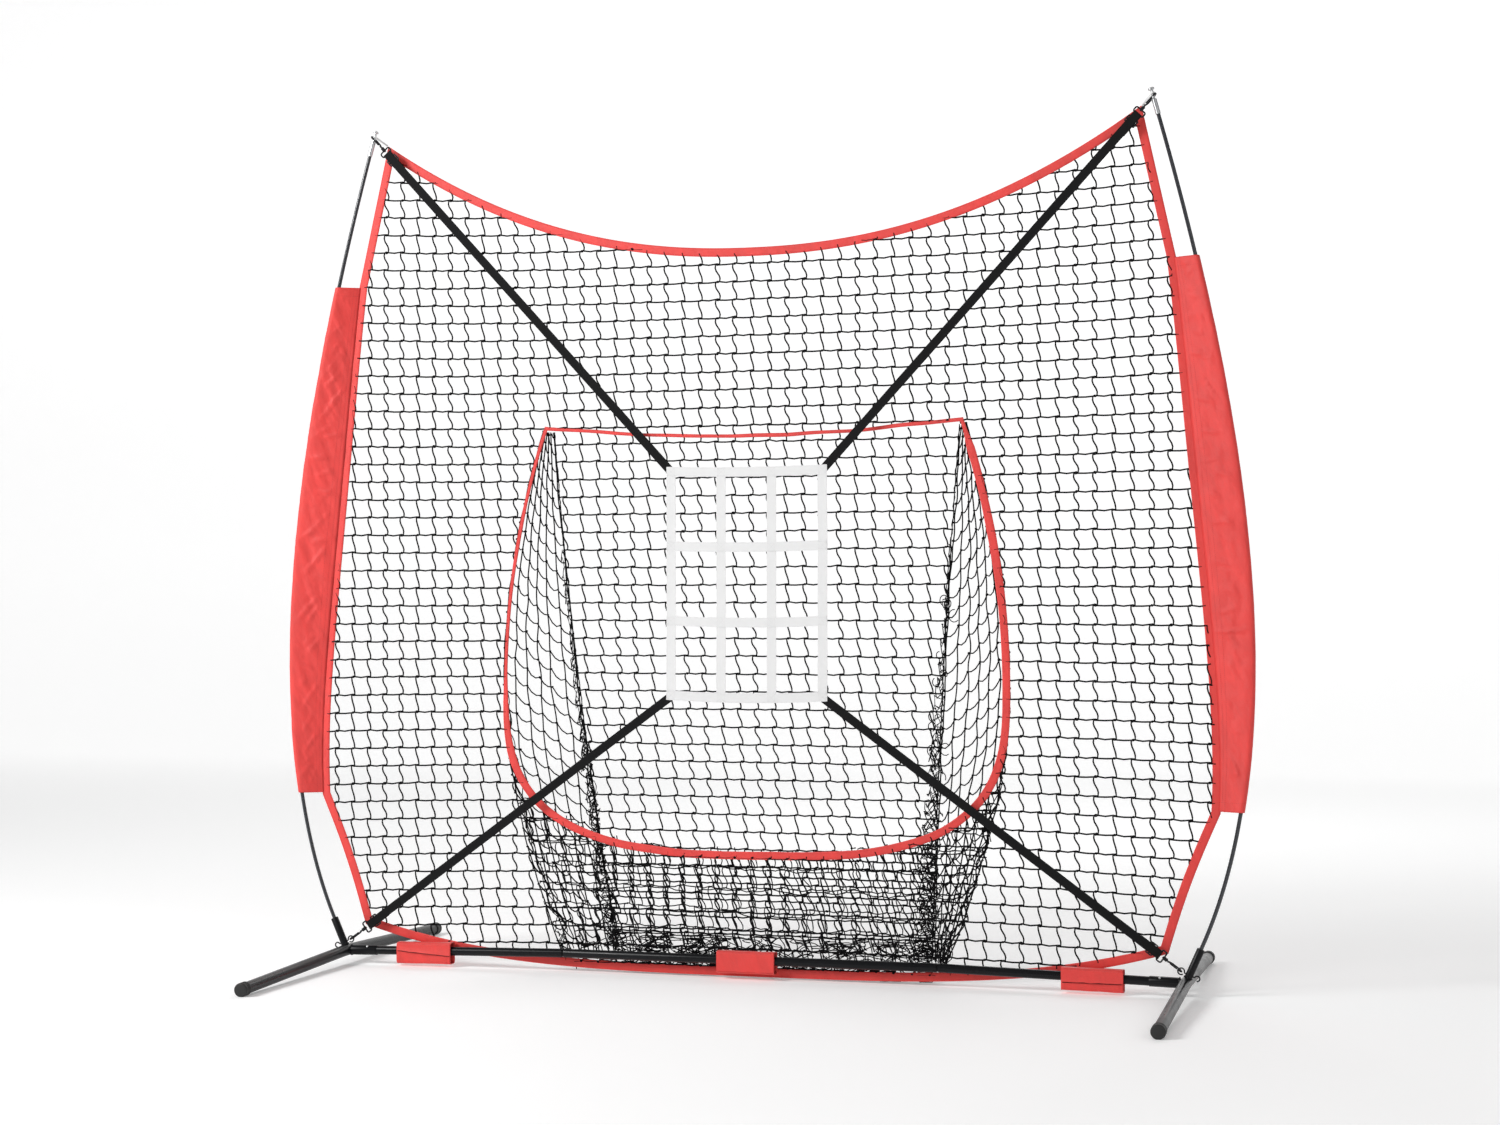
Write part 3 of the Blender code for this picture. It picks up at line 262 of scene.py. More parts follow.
def pole_line(side, steps=72):
    """From the bottom of the pole, in its socket, to its top, in the tip."""
    bottom = junction(side) + socket_axis(side) * (ANCHOR_HEIGHT + ANCHOR_WIRE / 2 + GAP)
    mouth = junction(side) + socket_axis(side) * SOCKET_REACH
    collar = tip_foot(side)
    chord = (collar - mouth).length
    first = mouth + socket_axis(side) * chord * POLE_LOWER_HANDLE
    second = collar - tip_axis(side) * chord * POLE_UPPER_HANDLE
    bow = []
    for t in shares(steps):
        bow.append(
            mouth * (1 - t) ** 3 + first * 3 * t * (1 - t) ** 2
            + second * 3 * t * t * (1 - t) + collar * t ** 3
        )
    return [bottom, *bow, collar + tip_axis(side) * (TIP_BORE_DEPTH - GAP)]


def shares(count):
    """Even steps from 0 to 1."""
    return [step / count for step in range(count + 1)]


def table_lookup(table, value):
    """Straight-line reading of a rising table of pairs."""
    low, high = 0, len(table) - 1
    if value <= table[0][0]:
        return table[0][1]
    if value >= table[-1][0]:
        return table[-1][1]
    while high - low > 1:
        middle = (low + high) // 2
        if table[middle][0] <= value:
            low = middle
        else:
            high = middle
    (x0, y0), (x1, y1) = table[low], table[high]
    return y0 + (y1 - y0) * (value - x0) / (x1 - x0)


POLE_TABLE = [(place.z, place.x) for place in pole_line(1)]


def pole_x(height):
    return table_lookup(POLE_TABLE, height)


def side_of_net(height):
    """Half the width of the net at one height."""
    if height > SLEEVE_TOP_Z:
        share = (height - SLEEVE_TOP_Z) / (FRAME_HEIGHT - TOP_CORNER_DROP - SLEEVE_TOP_Z)
        start = pole_x(SLEEVE_TOP_Z) - SLEEVE_WIDTH_END
        return start + (HALF_WIDTH - TOP_CORNER_INSET - start) * share
    if height < SLEEVE_BOTTOM_Z:
        share = (SLEEVE_BOTTOM_Z - height) / (SLEEVE_BOTTOM_Z - BOTTOM_CORNER_Z)
        start = pole_x(SLEEVE_BOTTOM_Z) - SLEEVE_WIDTH_END
        straight = start + (HALF_WIDTH - BOTTOM_CORNER_INSET - start) * share
        return straight - LOWER_SIDE_HOLLOW * math.sin(math.pi * min(1.0, share))
    share = (height - SLEEVE_BOTTOM_Z) / (SLEEVE_TOP_Z - SLEEVE_BOTTOM_Z)
    return pole_x(height) - SLEEVE_WIDTH_END - SLEEVE_BELLY * math.sin(math.pi * share)


def top_of_net(x):
    corner_x = HALF_WIDTH - TOP_CORNER_INSET
    corner_z = FRAME_HEIGHT - TOP_CORNER_DROP
    return corner_z - TOP_SAG * (1 - abs(x / corner_x) ** TOP_SAG_POWER)


def bottom_of_net(x):
    corner_x = HALF_WIDTH - BOTTOM_CORNER_INSET
    return BOTTOM_MIDDLE_Z + (BOTTOM_CORNER_Z - BOTTOM_MIDDLE_Z) * abs(x / corner_x) ** BOTTOM_POWER


def net_outline(fine=60):
    """Anticlockwise outline of the netting, from the middle of its bottom edge."""
    bottom_x = HALF_WIDTH - BOTTOM_CORNER_INSET
    top_x = HALF_WIDTH - TOP_CORNER_INSET
    top_z = FRAME_HEIGHT - TOP_CORNER_DROP
    half = [(bottom_x * step / fine, bottom_of_net(bottom_x * step / fine)) for step in range(fine)]
    for low, high, steps in (
        (BOTTOM_CORNER_Z, SLEEVE_BOTTOM_Z, fine // 3),
        (SLEEVE_BOTTOM_Z, SLEEVE_TOP_Z, fine),
        (SLEEVE_TOP_Z, top_z, fine // 3),
    ):
        levels = [low + (high - low) * step / steps for step in range(steps)]
        half += [(side_of_net(level), level) for level in levels]
    half += [(top_x * step / fine, top_of_net(top_x * step / fine)) for step in range(fine, -1, -1)]
    return half + [(-x, z) for x, z in reversed(half[1:-1])]


def offset_outline(points, distance):
    """Move a closed anticlockwise outline outwards, with mitred corners."""
    moved = []
    for index, place in enumerate(points):
        here = Vector(place)
        into = (here - Vector(points[index - 1])).normalized()
        out = (Vector(points[(index + 1) % len(points)]) - here).normalized()
        normal_in = Vector((into.y, -into.x))
        normal_out = Vector((out.y, -out.x))
        mitre = (normal_in + normal_out).normalized()
        moved.append(tuple(here + mitre * (distance / mitre.dot(normal_in))))
    return moved


def mouth_half_width(height):
    share = (height - MOUTH_WIDEST_Z) / (MOUTH_TOP_Z - MOUTH_WIDEST_Z)
    return MOUTH_HALF_WIDTH - (MOUTH_HALF_WIDTH - MOUTH_TOP_HALF_WIDTH) * share ** 2


def mouth_outline(fine=40):
    half = []
    for step in range(fine + 1):
        turn = math.pi / 2 * step / fine
        x = MOUTH_HALF_WIDTH * math.sin(turn) ** (2 / MOUTH_POWER)
        drop = (MOUTH_WIDEST_Z - MOUTH_SILL_Z) * abs(math.cos(turn)) ** (2 / MOUTH_POWER)
        half.append((x, MOUTH_WIDEST_Z - drop))
    for step in range(1, fine + 1):
        level = MOUTH_WIDEST_Z + (MOUTH_TOP_Z - MOUTH_WIDEST_Z) * step / fine
        half.append((mouth_half_width(level), level))
    for step in range(fine - 1, -1, -1):
        share = step / fine
        half.append((MOUTH_TOP_HALF_WIDTH * share, MOUTH_TOP_Z - MOUTH_TOP_SAG * (1 - share ** 2)))
    return half + [(-x, z) for x, z in reversed(half[1:-1])]


def in_net(x, z, spare=0.008):
    if not bottom_of_net(x) - spare < z < top_of_net(x) + spare:
        return False
    return abs(x) < side_of_net(z) + spare


def in_mouth(x, z):
    if z >= MOUTH_WIDEST_Z:
        if abs(x) > mouth_half_width(z):
            return False
        return z < MOUTH_TOP_Z - MOUTH_TOP_SAG * (1 - (x / MOUTH_TOP_HALF_WIDTH) ** 2)
    fall = (MOUTH_WIDEST_Z - z) / (MOUTH_WIDEST_Z - MOUTH_SILL_Z)
    return abs(x / MOUTH_HALF_WIDTH) ** MOUTH_POWER + fall ** MOUTH_POWER < 1


def pocket_rise(height):
    return max(0.0, min(1.0, (height - POCKET_FLOOR_Z) / (MOUTH_TOP_Z - POCKET_FLOOR_Z)))


def pocket_front(height):
    """Half the width of the bag just behind the net."""
    if height > MOUTH_WIDEST_Z:
        return mouth_half_width(height) + BINDING_WIDTH / 2
    fall = (MOUTH_WIDEST_Z - height) / (MOUTH_WIDEST_Z - POCKET_FLOOR_Z)
    narrow = MOUTH_HALF_WIDTH - POCKET_FLOOR_HALF_WIDTH
    return MOUTH_HALF_WIDTH - narrow * min(1.0, fall) ** 1.8 + BINDING_WIDTH / 2


def pocket_back(height):
    """Half width and Y of the bag's back panel."""
    rise = pocket_rise(height)
    wide = POCKET_BACK_HALF_WIDTH
    wide += (POCKET_BACK_TOP_HALF_WIDTH - POCKET_BACK_HALF_WIDTH) * rise
    depth = POCKET_TOP_DEPTH + (POCKET_DEPTH - POCKET_TOP_DEPTH) * (1 - rise) ** 2
    return wide, NET_Y + depth


def foot_line(side, length):
    """Axis of a foot from rear to front, with its bend."""
    slope = FOOT_RISE / (FOOT_LENGTH / 2)
    drop = slope * FOOT_BEND
    half = length / 2
    places = [(half, JUNCTION_Z - slope * half)]
    for step in shares(8):
        share = 1 - step
        places.append((FOOT_BEND * share, JUNCTION_Z - drop * (0.5 + 0.5 * share ** 2)))
    back = [Vector((side * HALF_WIDTH, y, z)) for y, z in places]
    return back + [Vector((place.x, -place.y, place.z)) for place in reversed(back[:-1])]


def bar_direction(side):
    return Vector((-side * math.cos(BAR_SLOPE), 0, math.sin(BAR_SLOPE)))


def button_frame(side):
    centre = junction(side) + bar_direction(side) * (STUB_REACH - BUTTON_SETBACK)
    out = Vector((0, -math.cos(BUTTON_ANGLE), math.sin(BUTTON_ANGLE)))
    x_axis = bar_direction(side)
    z_axis = (out - x_axis * out.dot(x_axis)).normalized()
    rotation = Matrix((x_axis, z_axis.cross(x_axis), z_axis)).transposed().to_4x4()
    return Matrix.Translation(centre) @ rotation


def anchor_eye_centre(side):
    """Centre of the eye that a lower hook holds."""
    axis = socket_axis(side)
    inboard = Vector((-side * axis.z, 0, abs(axis.x)))
    reach = SOCKET_OD / 2 + GAP + ANCHOR_WIRE + (ANCHOR_EYE + ANCHOR_WIRE) / 2
    return junction(side) + axis * ANCHOR_HEIGHT + inboard * reach


def strap_frame(side, level):
    """Origin in the hook's bight, local X along the strap to the target's corner."""
    corner = Vector((side * TARGET_WIDTH / 2, 0, TARGET_CENTRE_Z + level * TARGET_HEIGHT / 2))
    if level > 0:
        origin = neck_point(side, HOOK_LEVEL)
    else:
        eye = anchor_eye_centre(side)
        origin = eye + (corner - eye).normalized() * (ANCHOR_EYE + ANCHOR_WIRE) / 2
    x_axis = (corner - origin).normalized()
    rotation = Matrix((x_axis, INTO, x_axis.cross(INTO))).transposed().to_4x4()
    return Matrix.Translation(origin) @ rotation, (corner - origin).length


def arc(centre, radius, start, end, steps):
    turn = [start + (end - start) * step / steps for step in range(steps + 1)]
    return [(centre[0] + radius * math.cos(a), centre[1] + radius * math.sin(a)) for a in turn]


def rounded_rectangle(left, right, low, high, radius, steps=4):
    points = []
    for x, z, quarter in (
        (right - radius, high - radius, 0), (left + radius, high - radius, 1),
        (left + radius, low + radius, 2), (right - radius, low + radius, 3),
    ):
        start = quarter * math.pi / 2
        points += arc((x, z), radius, start, start + math.pi / 2, steps)
    return points


def ripple(place, scale, seed=0.0):
    """Smooth noise from -1 to 1 at a place."""
    return noise.noise(Vector(place) * scale + Vector((seed, seed * 0.7, -seed)))


# Meshes

class Shell:
    """Faces of one piece, with a map that runs along and across it in metres."""

    def __init__(self):
        self.places = []
        self.faces = []
        self.maps = []

    def face(self, corners, maps):
        self.faces.append(corners)
        self.maps.append(maps)

    def skin(self, rings, closed=True, cyclic=False, caps=True):
        """Join equal rings of points; every ring runs round the same way."""
        base = len(self.places)
        count = len(rings[0])
        for ring in rings:
            self.places += [tuple(place) for place in ring]
        around = [0.0]
        for here, after in zip(rings[0], [*rings[0][1:], rings[0][0]]):
            around.append(around[-1] + (Vector(after) - Vector(here)).length)
        travelled = [0.0]
        for here, after in zip(rings, [*rings[1:], rings[0]]):
            travelled.append(travelled[-1] + (Vector(after[0]) - Vector(here[0])).length)
        for row in range(len(rings) if cyclic else len(rings) - 1):
            above = (row + 1) % len(rings)
            for index in range(count if closed else count - 1):
                after = (index + 1) % count
                corners = [(row, index), (row, after), (above, after), (above, index)]
                maps = [
                    (travelled[row], around[index]), (travelled[row], around[index + 1]),
                    (travelled[row + 1], around[index + 1]), (travelled[row + 1], around[index]),
                ]
                self.face([base + r * count + i for r, i in corners], maps)
        if caps and closed and not cyclic:
            for row, order in ((0, -1), (len(rings) - 1, 1)):
                corners = [base + row * count + index for index in range(count)][::order]
                self.face(corners, [(0.0, 0.0)] * count)

    def sweep(self, path, section, hint, cyclic=False, scales=None, matrix=None):
        """Carry a closed section along a path; hint stays near the section's second axis."""
        rings = []
        count = len(path)
        for index, place in enumerate(path):
            before = path[index - 1] if index or cyclic else place
            after = path[(index + 1) % count] if index < count - 1 or cyclic else place
            tangent = (Vector(after) - Vector(before)).normalized()
            across = hint.cross(tangent).normalized()
            upward = tangent.cross(across)
            grow = scales[index] if scales else 1.0
            ring = [Vector(place) + across * a * grow + upward * b * grow for a, b in section]
            rings.append([matrix @ p for p in ring] if matrix else ring)
        self.skin(rings, cyclic=cyclic)

    def rod(self, path, radius, hint, sides=16, cyclic=False, round_ends=0.0, matrix=None):
        """Round bar with softened ends."""
        section = arc((0, 0), radius, 0, 2 * math.pi * (1 - 1 / sides), sides - 1)
        path = [Vector(place) for place in path]
        scales = None
        if round_ends and not cyclic:
            start = (path[1] - path[0]).normalized()
            end = (path[-2] - path[-1]).normalized()
            profile = [(0.0, 0.35), (0.12, 0.66), (0.45, 0.92), (1.0, 1.0)]
            first = [(path[0] + start * round_ends * d, s) for d, s in profile]
            last = [(path[-1] + end * round_ends * d, s) for d, s in reversed(profile)]
            middle = [(place, 1.0) for place in path[1:-1]]
            path = [place for place, _ in first + middle + last]
            scales = [scale for _, scale in first + middle + last]
        self.sweep(path, section, hint, cyclic, scales, matrix)

    def turned(self, profile, matrix, segments, hollow=False):
        """Solid of revolution about local Z; a solid's profile starts and ends on the axis."""
        rings = []
        for radius, height in profile:
            radius = max(radius, AXIS_RADIUS)
            rings.append([
                matrix @ Vector((radius * math.cos(turn), radius * math.sin(turn), height))
                for turn in (2 * math.pi * step / segments for step in range(segments))
            ])
        self.skin(rings, cyclic=hollow)

    def piece(self, name, materials, stands_for=(), body=BASE_BODY, angle=40):
        mesh = bpy.data.meshes.new(name)
        mesh.from_pydata(self.places, [], self.faces)
        layer = mesh.uv_layers.new(name="Cloth")
        corner = 0
        for maps in self.maps:
            for u, v in maps:
                layer.data[corner].uv = (u, v)
                corner += 1
        for material in materials:
            mesh.materials.append(material)
        fixer = bmesh.new()
        fixer.from_mesh(mesh)
        bmesh.ops.recalc_face_normals(fixer, faces=fixer.faces)
        fixer.to_mesh(mesh)
        fixer.free()
        return show(name, mesh, stands_for, body, angle)


def show(name, mesh, stands_for=(), body=BASE_BODY, angle=40):
    """Make a piece of a finished mesh, riding on its body in place of its CAD nodes."""
    mesh.name = name
    mesh.shade_smooth()
    mesh.set_sharp_from_angle(angle=math.radians(angle))
    obj = bpy.data.objects.new(name, mesh)
    bpy.context.scene.collection.objects.link(obj)
    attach(obj, body)
    if stands_for:
        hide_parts(*stands_for)
    return obj


def along(start, end):
    """Frame at start whose local Z runs to end."""
    z_axis = (end - start).normalized()
    hint = INTO if abs(z_axis.dot(INTO)) < 0.9 else UP
    x_axis = hint.cross(z_axis).normalized()
    rotation = Matrix((x_axis, z_axis.cross(x_axis), z_axis)).transposed().to_4x4()
    return Matrix.Translation(start) @ rotation


# Node trees

class Signal:
    """One output socket; arithmetic on signals adds Math nodes."""

    def __init__(self, maker, socket):
        self.maker = maker
        self.socket = socket

    def sum_up(self, operation, first, second=0.0):
        return self.maker.add("ShaderNodeMath", {"operation": operation}, {0: first, 1: second})

    def __add__(self, other):
        return self.sum_up("ADD", self, other)

    def __radd__(self, other):
        return self.sum_up("ADD", other, self)

    def __sub__(self, other):
        return self.sum_up("SUBTRACT", self, other)

    def __rsub__(self, other):
        return self.sum_up("SUBTRACT", other, self)

    def __mul__(self, other):
        return self.sum_up("MULTIPLY", self, other)

    def __rmul__(self, other):
        return self.sum_up("MULTIPLY", other, self)

    def __truediv__(self, other):
        return self.sum_up("DIVIDE", self, other)

    def __rtruediv__(self, other):
        return self.sum_up("DIVIDE", other, self)

    def wave(self):
        return self.sum_up("SINE", self)


class Maker:
    """Adds nodes to one tree."""

    def __init__(self, tree):
        self.tree = tree

    def add(self, kind, settings=None, values=None, out=0):
        node = self.tree.nodes.new(kind)
        for name, value in (settings or {}).items():
            if name == "stops":
                self.set_stops(node, value)
            else:
                setattr(node, name, value)
        for key, value in (values or {}).items():
            if isinstance(value, Signal):
                self.tree.links.new(value.socket, node.inputs[key])
            else:
                node.inputs[key].default_value = value
        return Signal(self, node.outputs[out])

    def other(self, signal, out):
        """Another output of the node that made a signal."""
        return Signal(self, signal.socket.node.outputs[out])

    def set_stops(self, node, stops):
        ramp = node.color_ramp
        while len(ramp.elements) < len(stops):
            ramp.elements.new(0.5)
        for element, (place, shade) in zip(ramp.elements, stops):
            element.position = place
            element.color = (shade, shade, shade, 1.0)

    def noise(self, vector, scale, detail=3.0, roughness=0.5):
        values = {"Vector": vector, "Scale": scale, "Detail": detail, "Roughness": roughness}
        return self.add("ShaderNodeTexNoise", None, values)

    def ramp(self, value, stops):
        return self.add("ShaderNodeValToRGB", {"stops": stops}, {0: value})

    def mix(self, factor, first, second):
        settings = {"data_type": "RGBA"}
        return self.add("ShaderNodeMix", settings, {0: factor, 6: first, 7: second}, out=2)

    def parts(self, vector):
        x = self.add("ShaderNodeSeparateXYZ", None, {0: vector})
        return x, self.other(x, 1), self.other(x, 2)

    def bump(self, height, distance, strength):
        values = {"Height": height, "Distance": distance, "Strength": strength}
        return self.add("ShaderNodeBump", None, values)

    def add_output(self, signal):
        node = self.tree.nodes.new("NodeGroupOutput")
        self.tree.links.new(signal.socket, node.inputs[0])


def blank_material(name):
    """A new material, its Maker, its shader, and places on the object in metres."""
    material = bpy.data.materials.new(name)
    material.use_nodes = True
    maker = Maker(material.node_tree)
    place = maker.add("ShaderNodeTexCoord", out=3)
    return material, maker, material.node_tree.nodes["Principled BSDF"], place


def plug(maker, shader, **sockets):
    """Connect or set the shader's sockets; names use _ for a space."""
    for name, value in sockets.items():
        socket = shader.inputs[name.replace("_", " ")]
        if isinstance(value, Signal):
            maker.tree.links.new(value.socket, socket)
        else:
            socket.default_value = value


def rgba(colour, factor=1.0):
    return (*(part * factor for part in colour), 1.0)


def coated_steel(name, colour):
    """Black powder coat: faint orange peel, dust in patches and a few rubbed lines."""
    material, maker, shader, place = blank_material(name)
    peel = maker.noise(place, 900.0, 2.0)
    dust = maker.ramp(maker.noise(place, 9.0, 4.0, 0.6), [(0.45, 0.0), (0.8, 1.0)])
    x, y, z = maker.parts(place)
    stretched = maker.add("ShaderNodeCombineXYZ", None, {0: x * 14.0, 1: y * 14.0, 2: z * 260.0})
    rubbed = maker.ramp(maker.noise(stretched, 1.0, 3.0, 0.7), [(0.66, 0.0), (0.74, 1.0)])
    base = maker.mix(dust * 0.4, rgba(colour), rgba(colour, 1.7))
    plug(
        maker, shader,
        Base_Color=maker.mix(rubbed * 0.35, base, rgba(colour, 4.0)),
        Roughness=0.24 + dust * 0.14 + peel * 0.06,
        Specular_IOR_Level=0.2,
        Normal=maker.bump(peel + rubbed * 0.4, 0.00008, 0.6),
    )
    return material


def moulded(name, colour, roughness, grain):
    """Rubber or nylon with a fine moulded grain and scuffs."""
    material, maker, shader, place = blank_material(name)
    skin = maker.noise(place, grain, 3.0, 0.6)
    scuff = maker.ramp(maker.noise(place, 60.0, 4.0, 0.65), [(0.55, 0.0), (0.75, 1.0)])
    plug(
        maker, shader,
        Base_Color=maker.mix(scuff * 0.5, rgba(colour), rgba(colour, 2.6)),
        Roughness=roughness + scuff * 0.15,
        Normal=maker.bump(skin + scuff * 0.3, 0.0001, 0.5),
    )
    return material


def glass_fibre(name, colour):
    """Pulled resin rod: glossy, with fine streaks along its length."""
    material, maker, shader, place = blank_material(name)
    x, y, z = maker.parts(place)
    along_rod = maker.add("ShaderNodeCombineXYZ", None, {0: x * 700.0, 1: y * 700.0, 2: z * 12.0})
    streak = maker.noise(along_rod, 1.0, 3.0, 0.6)
    plug(
        maker, shader,
        Base_Color=maker.mix(streak, rgba(colour, 0.7), rgba(colour, 1.8)),
        Roughness=0.2 + streak * 0.12,
        Coat_Weight=0.5, Coat_Roughness=0.12,
        Normal=maker.bump(streak, 0.00004, 0.5),
    )
    return material


def bright_steel(name, colour, roughness):
    """Nickel-plated or turned steel with fine rings, haze and small marks."""
    material, maker, shader, place = blank_material(name)
    x, y, z = maker.parts(place)
    rings = maker.add("ShaderNodeCombineXYZ", None, {0: x * 60.0, 1: y * 60.0, 2: z * 2600.0})
    turned = maker.noise(rings, 1.0, 2.0)
    haze = maker.noise(place, 140.0, 4.0, 0.6)
    plug(
        maker, shader,
        Base_Color=maker.mix(haze, rgba(colour, 0.82), rgba(colour, 1.0)),
        Metallic=1.0,
        Roughness=roughness + haze * 0.18 + turned * 0.05,
        Normal=maker.bump(turned * 0.5 + haze * 0.5, 0.00005, 0.5),
    )
    return material


def twisted_twine(name, colour):
    """Braided polyethylene twine: dark, dull, with fine fibres and dusty knots."""
    material, maker, shader, place = blank_material(name)
    x, y, z = maker.parts(place)
    braid = ((x + z) * 2200.0).wave() * ((x - z + y) * 2200.0).wave()
    fibre = maker.noise(place, 1400.0, 2.0)
    worn = maker.ramp(maker.noise(place, 26.0, 3.0), [(0.4, 0.0), (0.8, 1.0)])
    # Base colour: the braid paints shade in its hollows and light on its ridges; worn adds random
    # dusty patches.
    plug(
        maker, shader,
        Base_Color=maker.mix(worn * 0.6 + braid * 0.2, rgba(colour), rgba(colour, 2.4)),
        Roughness=0.62 + worn * 0.2,
        Specular_IOR_Level=0.08,
        Normal=maker.bump(braid * 0.6 + fibre, 0.0002, 0.6),
    )
    return material


def woven_cloth(name, colour, thread, sewn_map=False):
    """Red polyester: plain weave and faint crinkles, with painted shade and painted light of soft
    wrinkles and slanting creases in its colour.
    """
    material, maker, shader, solid = blank_material(name)
    place = maker.other(solid, 2) if sewn_map else solid
    x, y, z = maker.parts(place)
    turn = 2 * math.pi / thread
    if sewn_map:
        warp, weft = (x * turn).wave(), (y * turn).wave()
    else:
        warp, weft = ((x + y * 0.8) * turn).wave(), (z * turn).wave()
    weave = warp * weft * 0.5 + 0.5
    drift = maker.noise(solid, 3.5, 4.0, 0.6)
    crinkle = maker.noise(solid, 46.0, 5.0, 0.62)
    fuzz = maker.noise(solid, 900.0, 2.0)
    sx, sy, sz = maker.parts(solid)
    slanted = maker.add(
        "ShaderNodeCombineXYZ", None,
        {0: sx * 34.0 + sz * 13.0, 1: sy * 30.0, 2: sz * 9.0 - sx * 7.0})
    streak = maker.noise(slanted, 1.0, 4.0, 0.62)
    # Painted shade and light: the slanting streaks darken and lighten the red like creases, and the
    # large patches do the same like soft wrinkles. The weave darkens its hollows, and the crinkles
    # add a mottled tone.
    folds = maker.ramp(streak, [(0.36, 0.0), (0.64, 1.0)])
    painted_wrinkle_shade = maker.ramp(drift, [(0.36, 0.0), (0.64, 1.0)])
    tone = painted_wrinkle_shade * 0.25 + folds * 0.28 + crinkle * 0.25 + weave * 0.1 + 0.1
    lit = maker.mix(tone, rgba(colour, 0.72), rgba(colour, 1.14))
    plug(
        maker, shader,
        Base_Color=maker.mix(fuzz * 0.10, lit, (0.95, 0.42, 0.38, 1.0)),
        Roughness=0.36 + crinkle * 0.2 + weave * 0.06,
        Sheen_Weight=0.05, Sheen_Roughness=0.45, Specular_IOR_Level=0.45,
        Normal=maker.bump(
            weave * 0.2 + crinkle * 1.1 + streak * 2.4 + fuzz * 0.1, 0.0012, 0.6),
    )
    return material


def webbing(name, colour, lift, pick):
    """Flat woven tape: ribs across it, a selvedge, random soiling, and painted shade in the weave's
    hollows with painted light on its ribs.
    """
    material, maker, shader, solid = blank_material(name)
    place = maker.other(solid, 2)
    u, v, _ = maker.parts(place)
    turn = 2 * math.pi / pick
    ribs = (u * turn).wave() * 0.5 + 0.5
    strands = (v * turn * 1.7 + (u * turn * 0.5).wave() * 0.8).wave() * 0.5 + 0.5
    weave = ribs * 0.6 + strands * 0.4
    soil = maker.noise(solid, 24.0, 4.0, 0.6)
    fuzz = maker.noise(solid, 1300.0, 2.0)
    # Painted shade and light: the weave darkens the hollows and lightens the ribs, as far as lift
    # allows; soil is random dirt.
    tone = weave * 0.45 + soil * 0.45 + fuzz * 0.1
    plug(
        maker, shader,
        Base_Color=maker.mix(tone, rgba(colour, 1 - lift * 0.5), rgba(colour, 1 + lift)),
        Roughness=0.66 + soil * 0.16,
        Specular_IOR_Level=0.12,
        Normal=maker.bump(weave + fuzz * 0.2, 0.0004, 0.6),
    )
    return material


def thread_material(name, colour):
    """Sewing thread with a fine ply."""
    material, maker, shader, place = blank_material(name)
    ply = maker.noise(place, 2400.0, 2.0)
    plug(
        maker, shader,
        Base_Color=maker.mix(ply, rgba(colour, 0.8), rgba(colour, 1.3)),
        Roughness=0.5 + ply * 0.2,
        Normal=maker.bump(ply, 0.0001, 0.5),
    )
    return material


def geometry_tree(name, inputs):
    """A Geometry Nodes tree with named inputs, and the sockets to build on."""
    tree = bpy.data.node_groups.new(name, "GeometryNodeTree")
    tree.interface.new_socket("Geometry", in_out="INPUT", socket_type="NodeSocketGeometry")
    for label, kind, value in inputs:
        socket = tree.interface.new_socket(label, in_out="INPUT", socket_type=kind)
        if value is not None:
            socket.default_value = value
    tree.interface.new_socket("Geometry", in_out="OUTPUT", socket_type="NodeSocketGeometry")
    maker = Maker(tree)
    entry = tree.nodes.new("NodeGroupInput")
    sockets = {socket.name: Signal(maker, socket) for socket in entry.outputs if socket.name}
    return tree, maker, sockets


def finish_tree(maker, geometry, material):
    """Turn instances into one mesh, give it its material and end the tree."""
    realized = maker.add("GeometryNodeRealizeInstances", None, {"Geometry": geometry})
    dressed = maker.add(
        "GeometryNodeSetMaterial", None, {"Geometry": realized, "Material": material})
    maker.add_output(dressed)


def twine_tree():
    """Twine along every polyline, and a knot on every marked point."""
    tree, maker, given = geometry_tree("Knotted twine", [
        ("Twine radius", "NodeSocketFloat", 0.0014),
        ("Knot length", "NodeSocketFloat", 0.0042),
        ("Knot width", "NodeSocketFloat", 0.0029),
        ("Seed", "NodeSocketInt", 3),
        ("Twine", "NodeSocketMaterial", None),
    ])
    marked = maker.add(
        "GeometryNodeInputNamedAttribute", {"data_type": "BOOLEAN"}, {"Name": "knot"})
    split = maker.add(
        "GeometryNodeSeparateGeometry", {"domain": "POINT"},
        {"Geometry": given["Geometry"], "Selection": marked})
    lines = maker.other(split, 1)
    curve = maker.add("GeometryNodeMeshToCurve", None, {"Mesh": lines})
    profile = maker.add(
        "GeometryNodeCurvePrimitiveCircle", {"mode": "RADIUS"},
        {"Resolution": 5, "Radius": given["Twine radius"]})
    cord = maker.add(
        "GeometryNodeCurveToMesh", None,
        {"Curve": curve, "Profile Curve": profile, "Fill Caps": True})
    knot = maker.add("GeometryNodeMeshUVSphere", None, {"Segments": 7, "Rings": 5, "Radius": 1.0})
    turn = maker.add(
        "FunctionNodeRandomValue", {"data_type": "FLOAT_VECTOR"},
        {0: (-0.5, -0.5, -0.9), 1: (0.5, 0.5, 0.1), "Seed": given["Seed"]})
    swell = maker.add(
        "FunctionNodeRandomValue", {"data_type": "FLOAT"},
        {2: 0.8, 3: 1.2, "Seed": given["Seed"]}, out=1)
    size = maker.add(
        "ShaderNodeCombineXYZ", None,
        {0: given["Knot length"] * swell, 1: given["Knot width"], 2: given["Knot width"] * swell})
    knots = maker.add(
        "GeometryNodeInstanceOnPoints", None,
        {"Points": split, "Instance": knot, "Rotation": turn, "Scale": size})
    both = maker.add("GeometryNodeJoinGeometry", None, {"Geometry": cord})
    tree.links.new(knots.socket, both.socket.node.inputs[0])
    finish_tree(maker, both, given["Twine"])
    return tree


